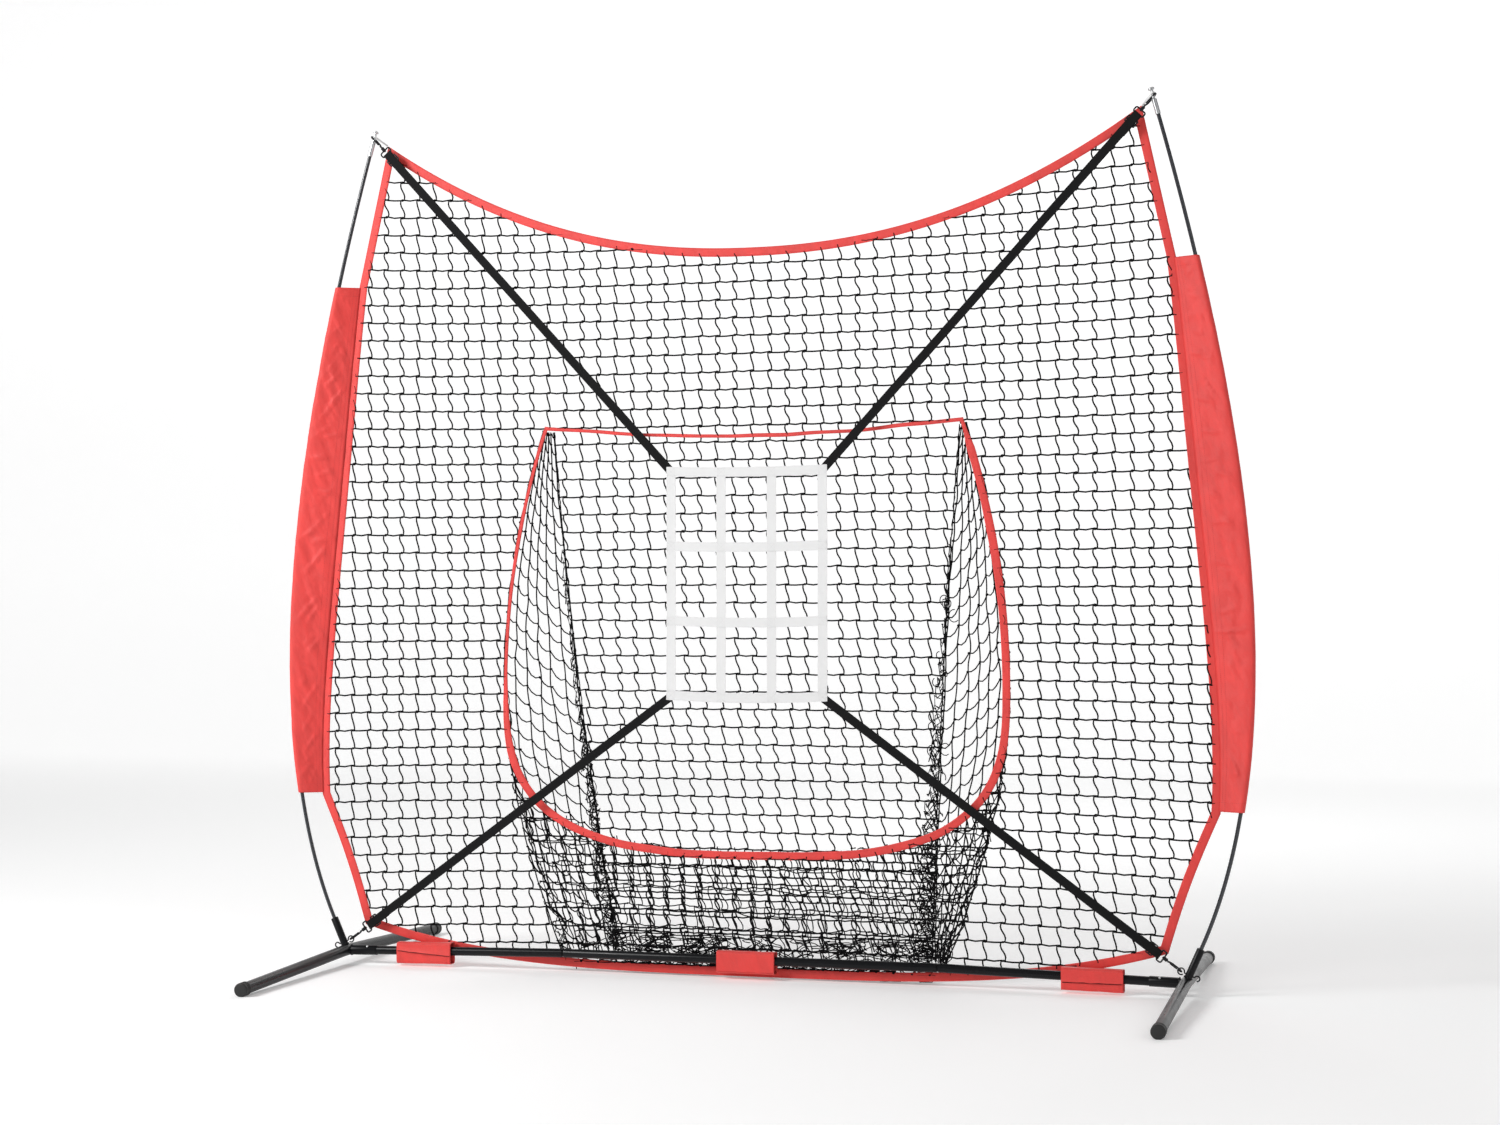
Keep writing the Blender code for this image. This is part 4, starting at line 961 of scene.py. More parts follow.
def stitch_tree():
    """Small thread stitches at an even pitch along every polyline."""
    tree, maker, given = geometry_tree("Stitches", [
        ("Pitch", "NodeSocketFloat", STITCH_PITCH),
        ("Stitch length", "NodeSocketFloat", STITCH_LENGTH),
        ("Thread radius", "NodeSocketFloat", THREAD_RADIUS),
        ("Thread", "NodeSocketMaterial", None),
    ])
    curve = maker.add("GeometryNodeMeshToCurve", None, {"Mesh": given["Geometry"]})
    points = maker.add(
        "GeometryNodeCurveToPoints", {"mode": "LENGTH"}, {"Curve": curve, "Length": given["Pitch"]})
    tangent = maker.other(points, 1)
    turn = maker.add(
        "FunctionNodeAlignRotationToVector", {"axis": "X"}, {"Vector": tangent})
    stitch = maker.add("GeometryNodeMeshUVSphere", None, {"Segments": 5, "Rings": 4, "Radius": 1.0})
    size = maker.add(
        "ShaderNodeCombineXYZ", None,
        {0: given["Stitch length"], 1: given["Thread radius"], 2: given["Thread radius"]})
    stitches = maker.add(
        "GeometryNodeInstanceOnPoints", None,
        {"Points": points, "Instance": stitch, "Rotation": turn, "Scale": size})
    finish_tree(maker, stitches, given["Thread"])
    return tree


class Strands:
    """Polylines and marked knots that a Geometry Nodes tree turns into a mesh."""

    def __init__(self):
        self.places = []
        self.edges = []
        self.knots = []

    def line(self, points):
        if len(points) < 2:
            return
        base = len(self.places)
        self.places += [tuple(place) for place in points]
        self.knots += [False] * len(points)
        self.edges += [(base + step, base + step + 1) for step in range(len(points) - 1)]

    def knot(self, place):
        self.places.append(tuple(place))
        self.knots.append(True)

    def grow(self, name, tree, values):
        """The evaluated mesh of the tree on these strands, with no modifier left."""
        mesh = bpy.data.meshes.new(name + "_strands")
        mesh.from_pydata(self.places, self.edges, [])
        marks = mesh.attributes.new("knot", "BOOLEAN", "POINT")
        marks.data.foreach_set("value", self.knots)
        carrier = bpy.data.objects.new(name + "_strands", mesh)
        bpy.context.scene.collection.objects.link(carrier)
        modifier = carrier.modifiers.new("Nodes", "NODES")
        modifier.node_group = tree
        for item in tree.interface.items_tree:
            if item.item_type == "SOCKET" and item.in_out == "INPUT" and item.name in values:
                modifier[item.identifier] = values[item.name]
        bpy.context.view_layer.update()
        graph = bpy.context.evaluated_depsgraph_get()
        made = bpy.data.meshes.new_from_object(carrier.evaluated_get(graph))
        carrier.modifiers.remove(modifier)
        bpy.data.objects.remove(carrier)
        bpy.data.meshes.remove(mesh)
        return made


_made = {}


def shared(key, build, *values):
    """A material or tree that several operators use, made once."""
    if key not in _made:
        _made[key] = build(*values)
    return _made[key]


def finishes():
    """Every material of the net, from the colours in the panel."""
    colours = bpy.context.scene.net_colours
    red, coat, twine, white = (
        tuple(colour) for colour in (colours.cloth, colours.coat, colours.twine, colours.target))
    recipes = {
        "coat": (coated_steel, "powder coated steel", coat),
        "rubber": (moulded, "end cap rubber", (0.014,) * 3, 0.62, 700.0),
        "nylon": (moulded, "socket nylon", (0.02,) * 3, 0.45, 900.0),
        "rod": (glass_fibre, "glass fibre rod", (0.013, 0.015, 0.02)),
        "bright": (bright_steel, "turned steel", (0.72, 0.73, 0.74), 0.2),
        "wire": (coated_steel, "blackened wire", (0.014, 0.014, 0.016)),
        "twine": (twisted_twine, "black twine", twine),
        "cloth": (woven_cloth, "red polyester cloth", red, CLOTH_THREAD),
        "binding": (woven_cloth, "red binding tape", red, CLOTH_THREAD, True),
        "target": (webbing, "white target webbing", white, 0.08, 0.0022),
        "strap": (webbing, "black elastic webbing", (0.007, 0.007, 0.0075), 0.9, 0.0020),
        "red_thread": (thread_material, "red thread", (0.52, 0.03, 0.03)),
        "white_thread": (thread_material, "white thread", (0.66, 0.66, 0.66)),
        "black_thread": (thread_material, "black thread", (0.03, 0.03, 0.03)),
    }
    return {key: shared(key, *recipe) for key, recipe in recipes.items()}


def stitch(
        name, lines, thread, pitch=STITCH_PITCH, length=STITCH_LENGTH, radius=THREAD_RADIUS):
    """Rows of stitches as one piece."""
    strands = Strands()
    for line in lines:
        strands.line(line)
    tree = shared("stitch_tree", stitch_tree)
    values = {"Pitch": pitch, "Stitch length": length, "Thread radius": radius, "Thread": thread}
    return show(name, strands.grow(name, tree, values))


def knit(name, strands, stands_for=(), thinner=1.0):
    """Strands as knotted twine, in one piece."""
    sizes = bpy.context.scene.net_sizes
    tree = shared("twine_tree", twine_tree)
    values = {
        "Twine radius": sizes.twine / 2 * thinner, "Knot length": sizes.knot * 0.58 * thinner,
        "Knot width": sizes.knot * 0.4 * thinner, "Seed": sizes.seed, "Twine": finishes()["twine"],
    }
    return show(name, strands.grow(name, tree, values), stands_for, angle=80)


# Properties

def length_field(name, description, default, low=0.0):
    return bpy.props.FloatProperty(
        name=name, description=description, default=default, min=low, unit="LENGTH", precision=4)


def colour_field(name, description, default):
    return bpy.props.FloatVectorProperty(
        name=name, description=description, default=default, subtype="COLOR", min=0.0, max=1.0)


class NetSizes(bpy.types.PropertyGroup):
    twine: length_field("Twine", "Diameter of the netting's twine", 0.0043, 0.001)
    mesh: length_field("Mesh", "Side of one square of the netting", 0.0447, 0.02)
    knot: length_field("Knot", "Length of a knot of the netting", 0.0086, 0.003)
    slack: length_field("Slack", "How far the pocket's twine strays from even rows", 0.009)
    wrinkle: length_field("Wrinkle", "Height of the creases in the pole sleeves", 0.0070)
    sag: length_field("Target sag", "Sag of the target's level tapes", 0.006)
    seed: bpy.props.IntProperty(
        name="Seed", description="Seed of the knots and of the loose twine", default=7)


class NetColours(bpy.types.PropertyGroup):
    cloth: colour_field("Cloth", "Colour of sleeves, tabs and binding", (0.82, 0.036, 0.031))
    coat: colour_field("Powder coat", "Colour of the steel base", (0.006, 0.0063, 0.0075))
    twine: colour_field("Twine", "Colour of the netting", (0.004, 0.004, 0.0045))
    target: colour_field("Target", "Colour of the strike-zone webbing", (0.79, 0.79, 0.79))
    floor: colour_field("Floor", "Colour of the floor under the net", (0.93, 0.93, 0.93))


class StageSizes(bpy.types.PropertyGroup):
    lens: bpy.props.FloatProperty(
        name="Lens", description="Focal length of the camera in millimetres", default=59.38)
    place: bpy.props.FloatVectorProperty(
        name="Camera place", description="Where the camera stands",
        default=(1.654, -5.881, 0.911), subtype="TRANSLATION", unit="LENGTH")
    turn: bpy.props.FloatVectorProperty(
        name="Camera turn", description="How the camera is turned",
        default=(math.radians(91.084), 0.0, math.radians(15.630)), subtype="EULER")


# Operators

class NET_OT_stage(bpy.types.Operator):
    """Floor, soft light and camera"""

    bl_idname = "net.stage"
    bl_label = "Stage"

    def execute(self, context):
        scene = context.scene
        stage = scene.net_stage
        data = bpy.data.cameras.new("camera")
        data.lens = stage.lens
        data.sensor_width = SENSOR_WIDTH
        camera = bpy.data.objects.new("camera", data)
        camera.location = stage.place
        camera.rotation_euler = stage.turn
        scene.collection.objects.link(camera)
        scene.camera = camera
        scene.view_settings.view_transform = "Standard"

        self.sweep(scene)

        world = bpy.data.worlds.new("studio")
        world.use_nodes = True
        sky = world.node_tree.nodes["Background"]
        sky.inputs["Color"].default_value = (1.0, 1.0, 1.0, 1.0)
        sky.inputs["Strength"].default_value = SKY_STRENGTH
        scene.world = world

        for name, place, aim, size, power in LIGHTS:
            light = bpy.data.lights.new(name, "AREA")
            light.shape = "SQUARE"
            light.size = size
            light.energy = power
            lamp = bpy.data.objects.new(name, light)
            lamp.location = place
            lamp.rotation_euler = (Vector(aim) - Vector(place)).to_track_quat("-Z", "Y").to_euler()
            scene.collection.objects.link(lamp)
        return {"FINISHED"}

    def sweep(self, scene):
        """Floor that curves up into the backdrop, glowing softly at the back."""
        bend = arc((SWEEP_BEND_Y, SWEEP_RADIUS), SWEEP_RADIUS, -math.pi / 2, 0.0, 16)
        top = (SWEEP_BEND_Y + SWEEP_RADIUS, SWEEP_TOP)
        profile = [(SWEEP_FRONT, 0.0), (0.0, 0.0), *bend, top]
        places = [(x, y, z) for y, z in profile for x in (-SWEEP_HALF_WIDTH, SWEEP_HALF_WIDTH)]
        firsts = range(0, 2 * (len(profile) - 1), 2)
        faces = [(first, first + 1, first + 3, first + 2) for first in firsts]
        mesh = bpy.data.meshes.new("studio_sweep")
        mesh.from_pydata(places, [], faces)
        mesh.shade_smooth()
        floor = bpy.data.objects.new("studio_sweep", mesh)
        scene.collection.objects.link(floor)
        material, maker, shader, place = blank_material("studio sweep")
        colour = tuple(scene.net_colours.floor)
        tone = maker.noise(place, 0.7, 2.0)
        _, back, _ = maker.parts(place)
        glow = maker.ramp((back - GLOW_START) / GLOW_LENGTH, [(0.0, 0.18), (1.0, 0.56)])
        plug(
            maker, shader,
            Base_Color=maker.mix(tone, rgba(colour, 0.99), rgba(colour, 1.01)),
            Emission_Color=glow, Emission_Strength=1.0,
            Roughness=0.9, Specular_IOR_Level=0.1,
        )
        mesh.materials.append(material)


def weld_bead(shell, centre, axis, radius):
    """Rippled ring of weld round a tube's foot."""
    matrix = along(centre, centre + axis)
    path = []
    steps = WELD_BEADS * 3
    for step in range(steps):
        turn = 2 * math.pi * step / steps
        swell = radius + 0.0003 * math.sin(turn * WELD_BEADS)
        path.append(matrix @ Vector((swell * math.cos(turn), swell * math.sin(turn), 0)))
    section = arc((0, 0), WELD_RADIUS, 0, 2 * math.pi * 7 / 8, 7)
    shell.sweep(path, section, axis, cyclic=True)


class NET_OT_base(bpy.types.Operator):
    """Feet, end caps, stubs, pole sockets, crossbar, buttons and anchor wires"""

    bl_idname = "net.base"
    bl_label = "Steel base"

    def execute(self, context):
        looks = finishes()
        for name, side in SIDES.items():
            foot = Shell()
            line = foot_line(side, FOOT_LENGTH - 0.0066)
            foot.rod(line, FOOT_OD / 2, UP, sides=40, round_ends=0.002)
            foot.piece(f"foot_{name}", [looks["coat"]], [f"foot_tube_{name}"])
            self.caps(name, side, looks)
            self.stub(name, side, looks)
            self.socket(name, side, looks)
            self.anchor(name, side, looks)
            self.button(name, side, looks)
        self.crossbar(looks)
        return {"FINISHED"}

    def caps(self, name, side, looks):
        line = foot_line(side, FOOT_LENGTH)
        for end, outer, inner in (("rear", line[0], line[1]), ("front", line[-1], line[-2])):
            cap = Shell()
            radius = CAP_RADIUS
            profile = [(0, 0), (radius - 0.0036, 0), (radius - 0.0016, 0.0005)]
            profile += [(radius - 0.0004, 0.0017), (radius, 0.0036)]
            for groove in CAP_GROOVES:
                profile += [(radius, groove), (radius - 0.0006, groove + 0.0008)]
                profile += [(radius - 0.0006, groove + 0.0016), (radius, groove + 0.0024)]
            profile += [(radius, CAP_LENGTH - 0.0012), (radius - 0.0004, CAP_LENGTH - 0.0003)]
            profile += [(radius - 0.0009, CAP_LENGTH), (FOOT_OD / 2 + 0.0002, CAP_LENGTH)]
            profile += [(FOOT_OD / 2 + 0.0002, CAP_LENGTH - 0.003), (0, CAP_LENGTH - 0.003)]
            cap.turned(profile, along(outer, inner), segments=40)
            cap.places = [(x, y, max(z, 0.0)) for x, y, z in cap.places]
            cap.piece(
                f"cap_{end}_{name}", [looks["rubber"]], [f"end_cap_{end}_{name}"])

    def stub(self, name, side, looks):
        start = junction(side)
        axis = bar_direction(side)
        outer, inner = STUB_OD / 2, BAR_OD / 2 + 0.0002
        reach = STUB_REACH
        profile = [(inner, FOOT_OD / 2 - 0.002), (outer, FOOT_OD / 2 - 0.002)]
        profile += [(outer, reach - 0.0006), (outer - 0.0003, reach - 0.0001)]
        profile += [(inner + 0.0003, reach), (inner, reach - 0.0004)]
        stub = Shell()
        stub.turned(profile, along(start, start + axis), 40, hollow=True)
        weld_bead(stub, start + axis * (FOOT_OD / 2 - 0.0005), axis, outer + 0.0003)
        stub.piece(f"bar_stub_{name}", [looks["coat"]], [f"stub_{name}"])

    def socket(self, name, side, looks):
        foot = junction(side)
        axis = socket_axis(side)
        matrix = along(foot, foot + axis)
        outer = SOCKET_OD / 2
        bore = outer - SOCKET_WALL
        profile = [(bore, 0.012), (outer, 0.012), (outer, SOCKET_REACH - 0.0006)]
        profile += [(outer - 0.0004, SOCKET_REACH), (bore + 0.0003, SOCKET_REACH)]
        profile += [(bore, SOCKET_REACH - 0.0004)]
        tube = Shell()
        tube.turned(profile, matrix, 32, hollow=True)
        weld_bead(tube, foot + axis * (FOOT_OD / 2 - 0.0002), axis, outer + 0.0003)
        tube.piece(f"socket_{name}", [looks["coat"]], [f"pole_socket_{name}"])
        bush = Shell()
        inner = POLE_OD / 2 + 0.0002
        top = SOCKET_REACH + 0.0006
        profile = [(inner, 0.03), (bore - 0.0002, 0.03), (bore - 0.0002, top - 0.0008)]
        profile += [(bore - 0.0009, top), (inner + 0.0006, top), (inner, top - 0.0006)]
        bush.turned(profile, matrix, 32, hollow=True)
        bush.piece(f"bush_{name}", [looks["nylon"]], [f"socket_bush_{name}"])

    def anchor(self, name, side, looks):
        axis = socket_axis(side)
        inboard = Vector((-side * axis.z, 0, abs(axis.x)))
        start = junction(side) + axis * ANCHOR_HEIGHT
        eye_radius = (ANCHOR_EYE + ANCHOR_WIRE) / 2
        curl_radius = (ANCHOR_CURL + ANCHOR_WIRE) / 2
        eye_at = (anchor_eye_centre(side) - start).length
        curl_at = SOCKET_OD / 2 + GAP + ANCHOR_WIRE + curl_radius
        eye_turn = ANCHOR_WIRE / eye_radius + 0.15
        eye = arc((eye_at, 0), eye_radius, math.pi, -math.pi + eye_turn, 28)
        curl = arc((-curl_at, 0), curl_radius, math.pi * 1.45, 0, 18)
        points = [start + inboard * across + axis * up for across, up in curl + eye]
        wire = Shell()
        wire.rod(points, ANCHOR_WIRE / 2, INTO, sides=14, round_ends=0.0012)
        wire.piece(f"anchor_{name}", [looks["wire"]], [f"anchor_wire_{name}"])

    def button(self, name, side, looks):
        height = STUB_OD / 2 + BUTTON_PROUD
        dome = BUTTON_OD / 2
        profile = [(0, height)]
        profile += [
            (dome * math.sin(turn), height - dome * (1 - math.cos(turn)) * 0.6)
            for turn in (math.pi / 20 * step for step in range(1, 11))
        ]
        profile += [(dome, 0.0088), (0, 0.0088)]
        button = Shell()
        button.turned(profile, button_frame(side), segments=28)
        button.piece(
            f"button_{name}", [looks["bright"]], [f"snap_button_{name}"],
            body=f"snap_button_{name}")

    def crossbar(self, looks):
        joint = {side: Vector((side * BAR_JOINT_X, 0, BAR_Z)) for side in SIDES.values()}
        for name, side in SIDES.items():
            start = junction(side) + bar_direction(side) * (STUB_REACH - BAR_INSERT)
            bar = Shell()
            bar.rod([start, (start + joint[side]) / 2, joint[side]], BAR_OD / 2, UP, 36,
                    round_ends=0.0016)
            bar.piece(f"bar_{name}", [looks["coat"]], [f"crossbar_{name}"])
        middle = Shell()
        ends = [joint[-1] + Vector((0.0012, 0, 0)), joint[1] - Vector((0.0012, 0, 0))]
        middle.rod([ends[0], (ends[0] + ends[1]) / 2, ends[1]], BAR_OD / 2, UP, 36,
                   round_ends=0.004)
        for side in SIDES.values():
            inside = joint[side] - bar_direction(side) * 0.045
            middle.rod([ends[(side + 1) // 2], inside], BAR_OD / 2 - 0.0016, UP, 28)
        middle.piece("bar_middle", [looks["coat"]], ["crossbar_middle"])


class NET_OT_poles(bpy.types.Operator):
    """Glass-fibre poles, their ferrules and bright tips"""

    bl_idname = "net.poles"
    bl_label = "Poles and tips"

    def execute(self, context):
        looks = finishes()
        for name, side in SIDES.items():
            line = pole_line(side)
            half = len(line) // 2
            for part, points in (("lower", line[:half + 1]), ("upper", line[half:])):
                rod = Shell()
                rod.rod(points, POLE_OD / 2, INTO, sides=24, round_ends=0.001)
                rod.piece(
                    f"rod_{part}_{name}", [looks["rod"]], [f"pole_{part}_{name}"])
            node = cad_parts[f"pole_ferrule_{name}"]
            for slot in node.material_slots:
                slot.material = looks["bright"]
            self.tip(name, side, looks)
        return {"FINISHED"}

    def tip(self, name, side, looks):
        neck_foot = TIP_FERRULE_LENGTH
        head_foot = neck_foot + TIP_NECK_LENGTH
        bevel = 0.001
        head, neck, skirt = TIP_HEAD_OD / 2, TIP_NECK_OD / 2, TIP_OD / 2
        bore = POLE_OD / 2 + 0.0002
        profile = [(0, TIP_LENGTH), (head * 0.6, TIP_LENGTH - 0.0001)]
        profile += [(head - bevel, TIP_LENGTH - 0.0004), (head, TIP_LENGTH - bevel * 1.4)]
        profile += [(head, head_foot + bevel), (head - bevel, head_foot)]
        profile += [(neck + 0.0006, head_foot), (neck, head_foot - 0.0006)]
        profile += [(neck, neck_foot + 0.0006), (neck + 0.0008, neck_foot)]
        profile += [(skirt - bevel, neck_foot - 0.0002), (skirt, neck_foot - bevel)]
        for groove in TIP_GROOVES:
            profile += [(skirt, groove), (skirt - 0.0005, groove - 0.0004)]
            profile += [(skirt - 0.0005, groove - 0.0012), (skirt, groove - 0.0016)]
        profile += [(skirt, 0.0006), (skirt - 0.0005, 0), (bore, 0), (bore, 0.004), (0, 0.004)]
        tip = Shell()
        tip.turned(profile, along(tip_foot(side), tip_foot(side) + tip_axis(side)), segments=36)
        tip.piece(
            f"tip_{name}", [looks["bright"]], [f"pole_tip_{name}"], angle=28)


def meeting_point(inside, outside, keep):
    """Where the line from a kept point to a left-out point crosses the edge."""
    near, far = Vector(inside), Vector(outside)
    for _ in range(8):
        middle = (near + far) / 2
        if keep(middle):
            near = middle
        else:
            far = middle
    return tuple(near)


def clipped(points, keep):
    """The runs of a line that lie where keep says, cut off at the edge."""
    runs = []
    run = []
    before = None
    for place in points:
        if keep(place):
            if not run and before is not None:
                run.append(meeting_point(place, before, keep))
            run.append(place)
        elif run:
            runs.append([*run, meeting_point(run[-1], place, keep)])
            run = []
        before = place
    if len(run) > 1:
        runs.append(run)
    return runs


def flat_netting(strands, keep, place, xs, zs, jitter, seed, knot_shift=KNOT_SHIFT):
    """Square-hung knotted netting on a sheet.

    place(x, z) puts a point of the flat net on its sheet; keep(x, z) is true where
    there is netting.
    """
    def crossing(i, j):
        x, z = xs[i], zs[j]
        stray_x = ripple((i * 0.9, j * 1.3, seed), 1.0) * jitter
        stray_z = ripple((i * 1.1, j * 0.8, seed + 9), 1.0) * jitter
        return x + stray_x, z + stray_z

    for j in range(len(zs)):
        line = []
        for i in range(len(xs)):
            x, z = crossing(i, j)
            tilt = 0.0011 * (1 if (i + j) % 2 else -0.6)
            line.append((x - knot_shift * 0.7, z + tilt))
            line.append((x + knot_shift * 0.7, z - tilt))
            if i + 1 < len(xs):
                after_x, after_z = crossing(i + 1, j)
                droop = 0.0012 + 0.5 * jitter * (0.5 + 0.5 * ripple((i, j, seed + 3), 2.3))
                line.append(((x + after_x) / 2, (z + after_z) / 2 - droop))
            if all(keep(x + dx, z) for dx in (-0.012, 0.012)):
                strands.knot(place(x, z))
        for run in clipped(line, lambda p: keep(*p)):
            strands.line([place(x, z) for x, z in run])
    for i in range(len(xs)):
        curl = (1.6, 1.45, 0.9, 1.15)[i % 4]
        line = []
        for j in range(len(zs) - 1):
            low_x, low_z = crossing(i, j)
            high_x, high_z = crossing(i, j + 1)
            for share in (0.04, 0.2, 0.36, 0.5, 0.64, 0.8, 0.96):
                lean = 1 - 2 * share
                bend = math.sin(math.pi * 2 * share) * 0.8 * (curl - 0.6)
                shift = knot_shift * (lean + bend)
                x = low_x + (high_x - low_x) * share + shift
                line.append((x, low_z + (high_z - low_z) * share))
        for run in clipped(line, lambda p: keep(*p)):
            strands.line([place(x, z) for x, z in run])


def spread(low, high, pitch, phase=0.0):
    """Positions of the rows of knots between two limits."""
    count = int((high - low) / pitch) + 2
    return [low + phase * pitch + pitch * step for step in range(count)]


class NET_OT_netting(bpy.types.Operator):
    """Knotted twine of the main panel"""

    bl_idname = "net.netting"
    bl_label = "Netting"

    def execute(self, context):
        sizes = context.scene.net_sizes
        strands = Strands()

        def place(x, z):
            lift = 0.030 * (abs(x) / HALF_WIDTH) ** 3 * (z - 1.0)
            belly = 0.0024 * ripple((x, 0, z), 2.1)
            return x, NET_Y + belly * 0.6, z + lift

        def keep(x, z):
            real_x, _, real_z = place(x, z)
            return in_net(real_x, real_z) and not in_mouth(real_x, real_z)

        xs = spread(*PANEL_SPAN, sizes.mesh, 0.35)
        zs = spread(*PANEL_RISE, sizes.mesh, 0.4)
        flat_netting(strands, keep, place, xs, zs, NET_JITTER, 1.0)
        knit("net_twine", strands, ["net_panel"])
        return {"FINISHED"}


class NET_OT_pocket(bpy.types.Operator):
    """Catch pocket: back, sides, slack front, gathered seams and the pile on the floor"""

    bl_idname = "net.pocket"
    bl_label = "Catch pocket"

    def execute(self, context):
        sizes = context.scene.net_sizes
        self.back(sizes)
        self.sides()
        self.front(sizes)
        self.gathers(sizes)
        return {"FINISHED"}

    def back(self, sizes):
        strands = Strands()

        def keep(x, z):
            half, _ = pocket_back(z)
            return abs(x) < half and 0.045 < z < MOUTH_TOP_Z - MOUTH_TOP_SAG * (
                1 - (x / MOUTH_TOP_HALF_WIDTH) ** 2) - 0.002

        def place(x, z):
            _, y = pocket_back(z)
            loose = 1 - pocket_rise(z)
            return x, y - 0.010 + 0.007 * loose * ripple((x, 1, z), 5.0), z

        xs = spread(*BACK_SPAN, sizes.mesh, 0.1)
        zs = spread(*BACK_RISE, sizes.mesh, 0.1)
        flat_netting(strands, keep, place, xs, zs, 0.0022, 2.0)
        knit("pocket_back_twine", strands, ["pocket_bag"], thinner=0.95)

    def sides(self):
        """Skewed netting between the mouth's edge and the back panel's seams."""
        strands = Strands()
        for side in SIDES.values():
            def place(share, z):
                level = max(POCKET_FLOOR_Z + 0.004, min(MOUTH_TOP_Z - 0.004, z))
                half, back_y = pocket_back(level)
                front = pocket_front(level) - 0.004
                bulge = 0.012 * math.sin(math.pi * share)
                x = front + (half - front) * share + bulge * 0.4
                y = NET_Y + 0.006 + (back_y - NET_Y - 0.010) * share
                stray = 0.004 * ripple((share * 3, side, z * 9), 2.0, 5.0)
                return side * (x + stray), y + stray, level

            columns = SIDE_COLUMNS
            levels = spread(0.03, 1.52, 0.046)
            for column in range(columns + 1):
                share = column / columns
                points = []
                for step in range(90):
                    z = 0.03 + (MOUTH_TOP_Z - 0.04) * step / 89
                    wag = 0.035 * ripple((column * 3.1, z * 11, side * 4), 1.0, 2.0)
                    points.append(place(max(0.0, min(1.0, share + wag)), z))
                strands.line(points)
            for number, level in enumerate(levels):
                points = []
                for step in range(columns * 3 + 1):
                    share = step / (columns * 3)
                    droop = (0.15 * share + 0.012 * math.sin(share * math.pi * columns) ** 2)
                    z = level - droop + 0.006 * ripple((number * 2.0, share * 5, side), 1.0, 8.0)
                    if z > MOUTH_TOP_Z - 0.006 or z < 0.03:
                        continue
                    points.append(place(share, z))
                    if step % 3 == 0:
                        strands.knot(points[-1])
                strands.line(points)
        knit("pocket_side_twine", strands, thinner=0.85)

    def front(self, sizes):
        """Slack layers that hang below the mouth, one behind another."""
        strands = Strands()
        for layer, (y, pitch_x, pitch_z, stray, roof) in enumerate(SLACK_LAYERS):
            def keep(x, z, layer=layer, roof=roof):
                inner = pocket_front(z) - 0.004 - 0.03 * layer * (z < 0.3)
                if z > roof or z < 0.03 or abs(x) > inner:
                    return False
                return not in_mouth(x * (1.0 - 0.03 * layer), z - 0.01)

            def place(x, z, y=y, stray=stray, layer=layer):
                loose = sizes.slack * stray
                dx = loose * ripple((x * 10, z * 14, layer * 7), 1.0)
                dz = loose * ripple((x * 13, layer * 5, z * 9), 1.0, 4.0)
                depth = y + 0.012 * ripple((x * 6, z * 7, layer), 1.0, 6.0)
                _, back_y = pocket_back(z)
                return x + dx, max(NET_Y + 0.005, min(depth, back_y - 0.012)), z + dz

            xs = spread(*SLACK_SPAN, pitch_x, 0.3 * layer)
            zs = spread(*SLACK_RISE, pitch_z, 0.37 * layer)
            flat_netting(strands, keep, place, xs, zs, 0.004, 3.0 + layer, 0.006)
        knit("pocket_front_twine", strands, thinner=0.72)

    def gathers(self, sizes):
        """Loose twine: along the two back seams, at the outline and on the floor."""
        chance = random.Random(sizes.seed)
        strands = Strands()
        for side, tops, reach in SEAM_BUNCHES:
            self.seam(strands, side)
            self.hanging(strands, chance, side, tops, reach)
            self.curls(strands, chance, side, reach)
        self.edges(strands, chance)
        self.pile(strands, chance)
        knit("pocket_loose_twine", strands, thinner=0.62)

    def seam(self, strands, side):
        """Doubled twine where the back and a side are laced together."""
        seam = []
        for step in range(120):
            z = 0.04 + (MOUTH_TOP_Z - 0.05) * step / 119
            half, back_y = pocket_back(z)
            sway = 0.002 * ripple((z * 18, side, 0), 1.0)
            seam.append((side * (half - 0.003) + sway, back_y - 0.008, z))
        strands.line(seam)
        strands.line([(x + 0.0022 * math.sin(z * 150), y - 0.002, z) for x, y, z in seam])

    def hanging(self, strands, chance, side, tops, reach):
        """Slack lengths that wind down beside a back seam."""
        for strand, top in enumerate(tops):
            phase = chance.uniform(0, FULL_TURN)
            loops = (top - 0.03) / chance.uniform(0.042, 0.06)
            points = []
            steps = int((top - 0.03) / 0.0065)
            for step in range(steps):
                share = step / steps
                z = top - (top - 0.035) * share
                half, back_y = pocket_back(z)
                wide = 0.004 + reach * max(0.0, 1.02 - z) ** 1.2
                curl = 0.6 + 0.4 * ripple((share * 14, strand, side), 1.0, 3.0)
                turn = phase + share * loops * FULL_TURN
                swing = math.sin(turn) * wide * curl
                swing += wide * 0.7 * ripple((share * 9, strand, side), 1.0, 1.0)
                depth = math.cos(turn * 0.83) * wide * 0.5
                y = min(back_y - 0.006, max(NET_Y + 0.006, back_y - 0.02 - wide + depth))
                lift = 0.011 * math.cos(turn * 2.1)
                points.append((side * (half - wide * 0.3) + swing, y, max(0.012, z + lift)))
            strands.line(points)
            for place in points[::9]:
                strands.knot(place)

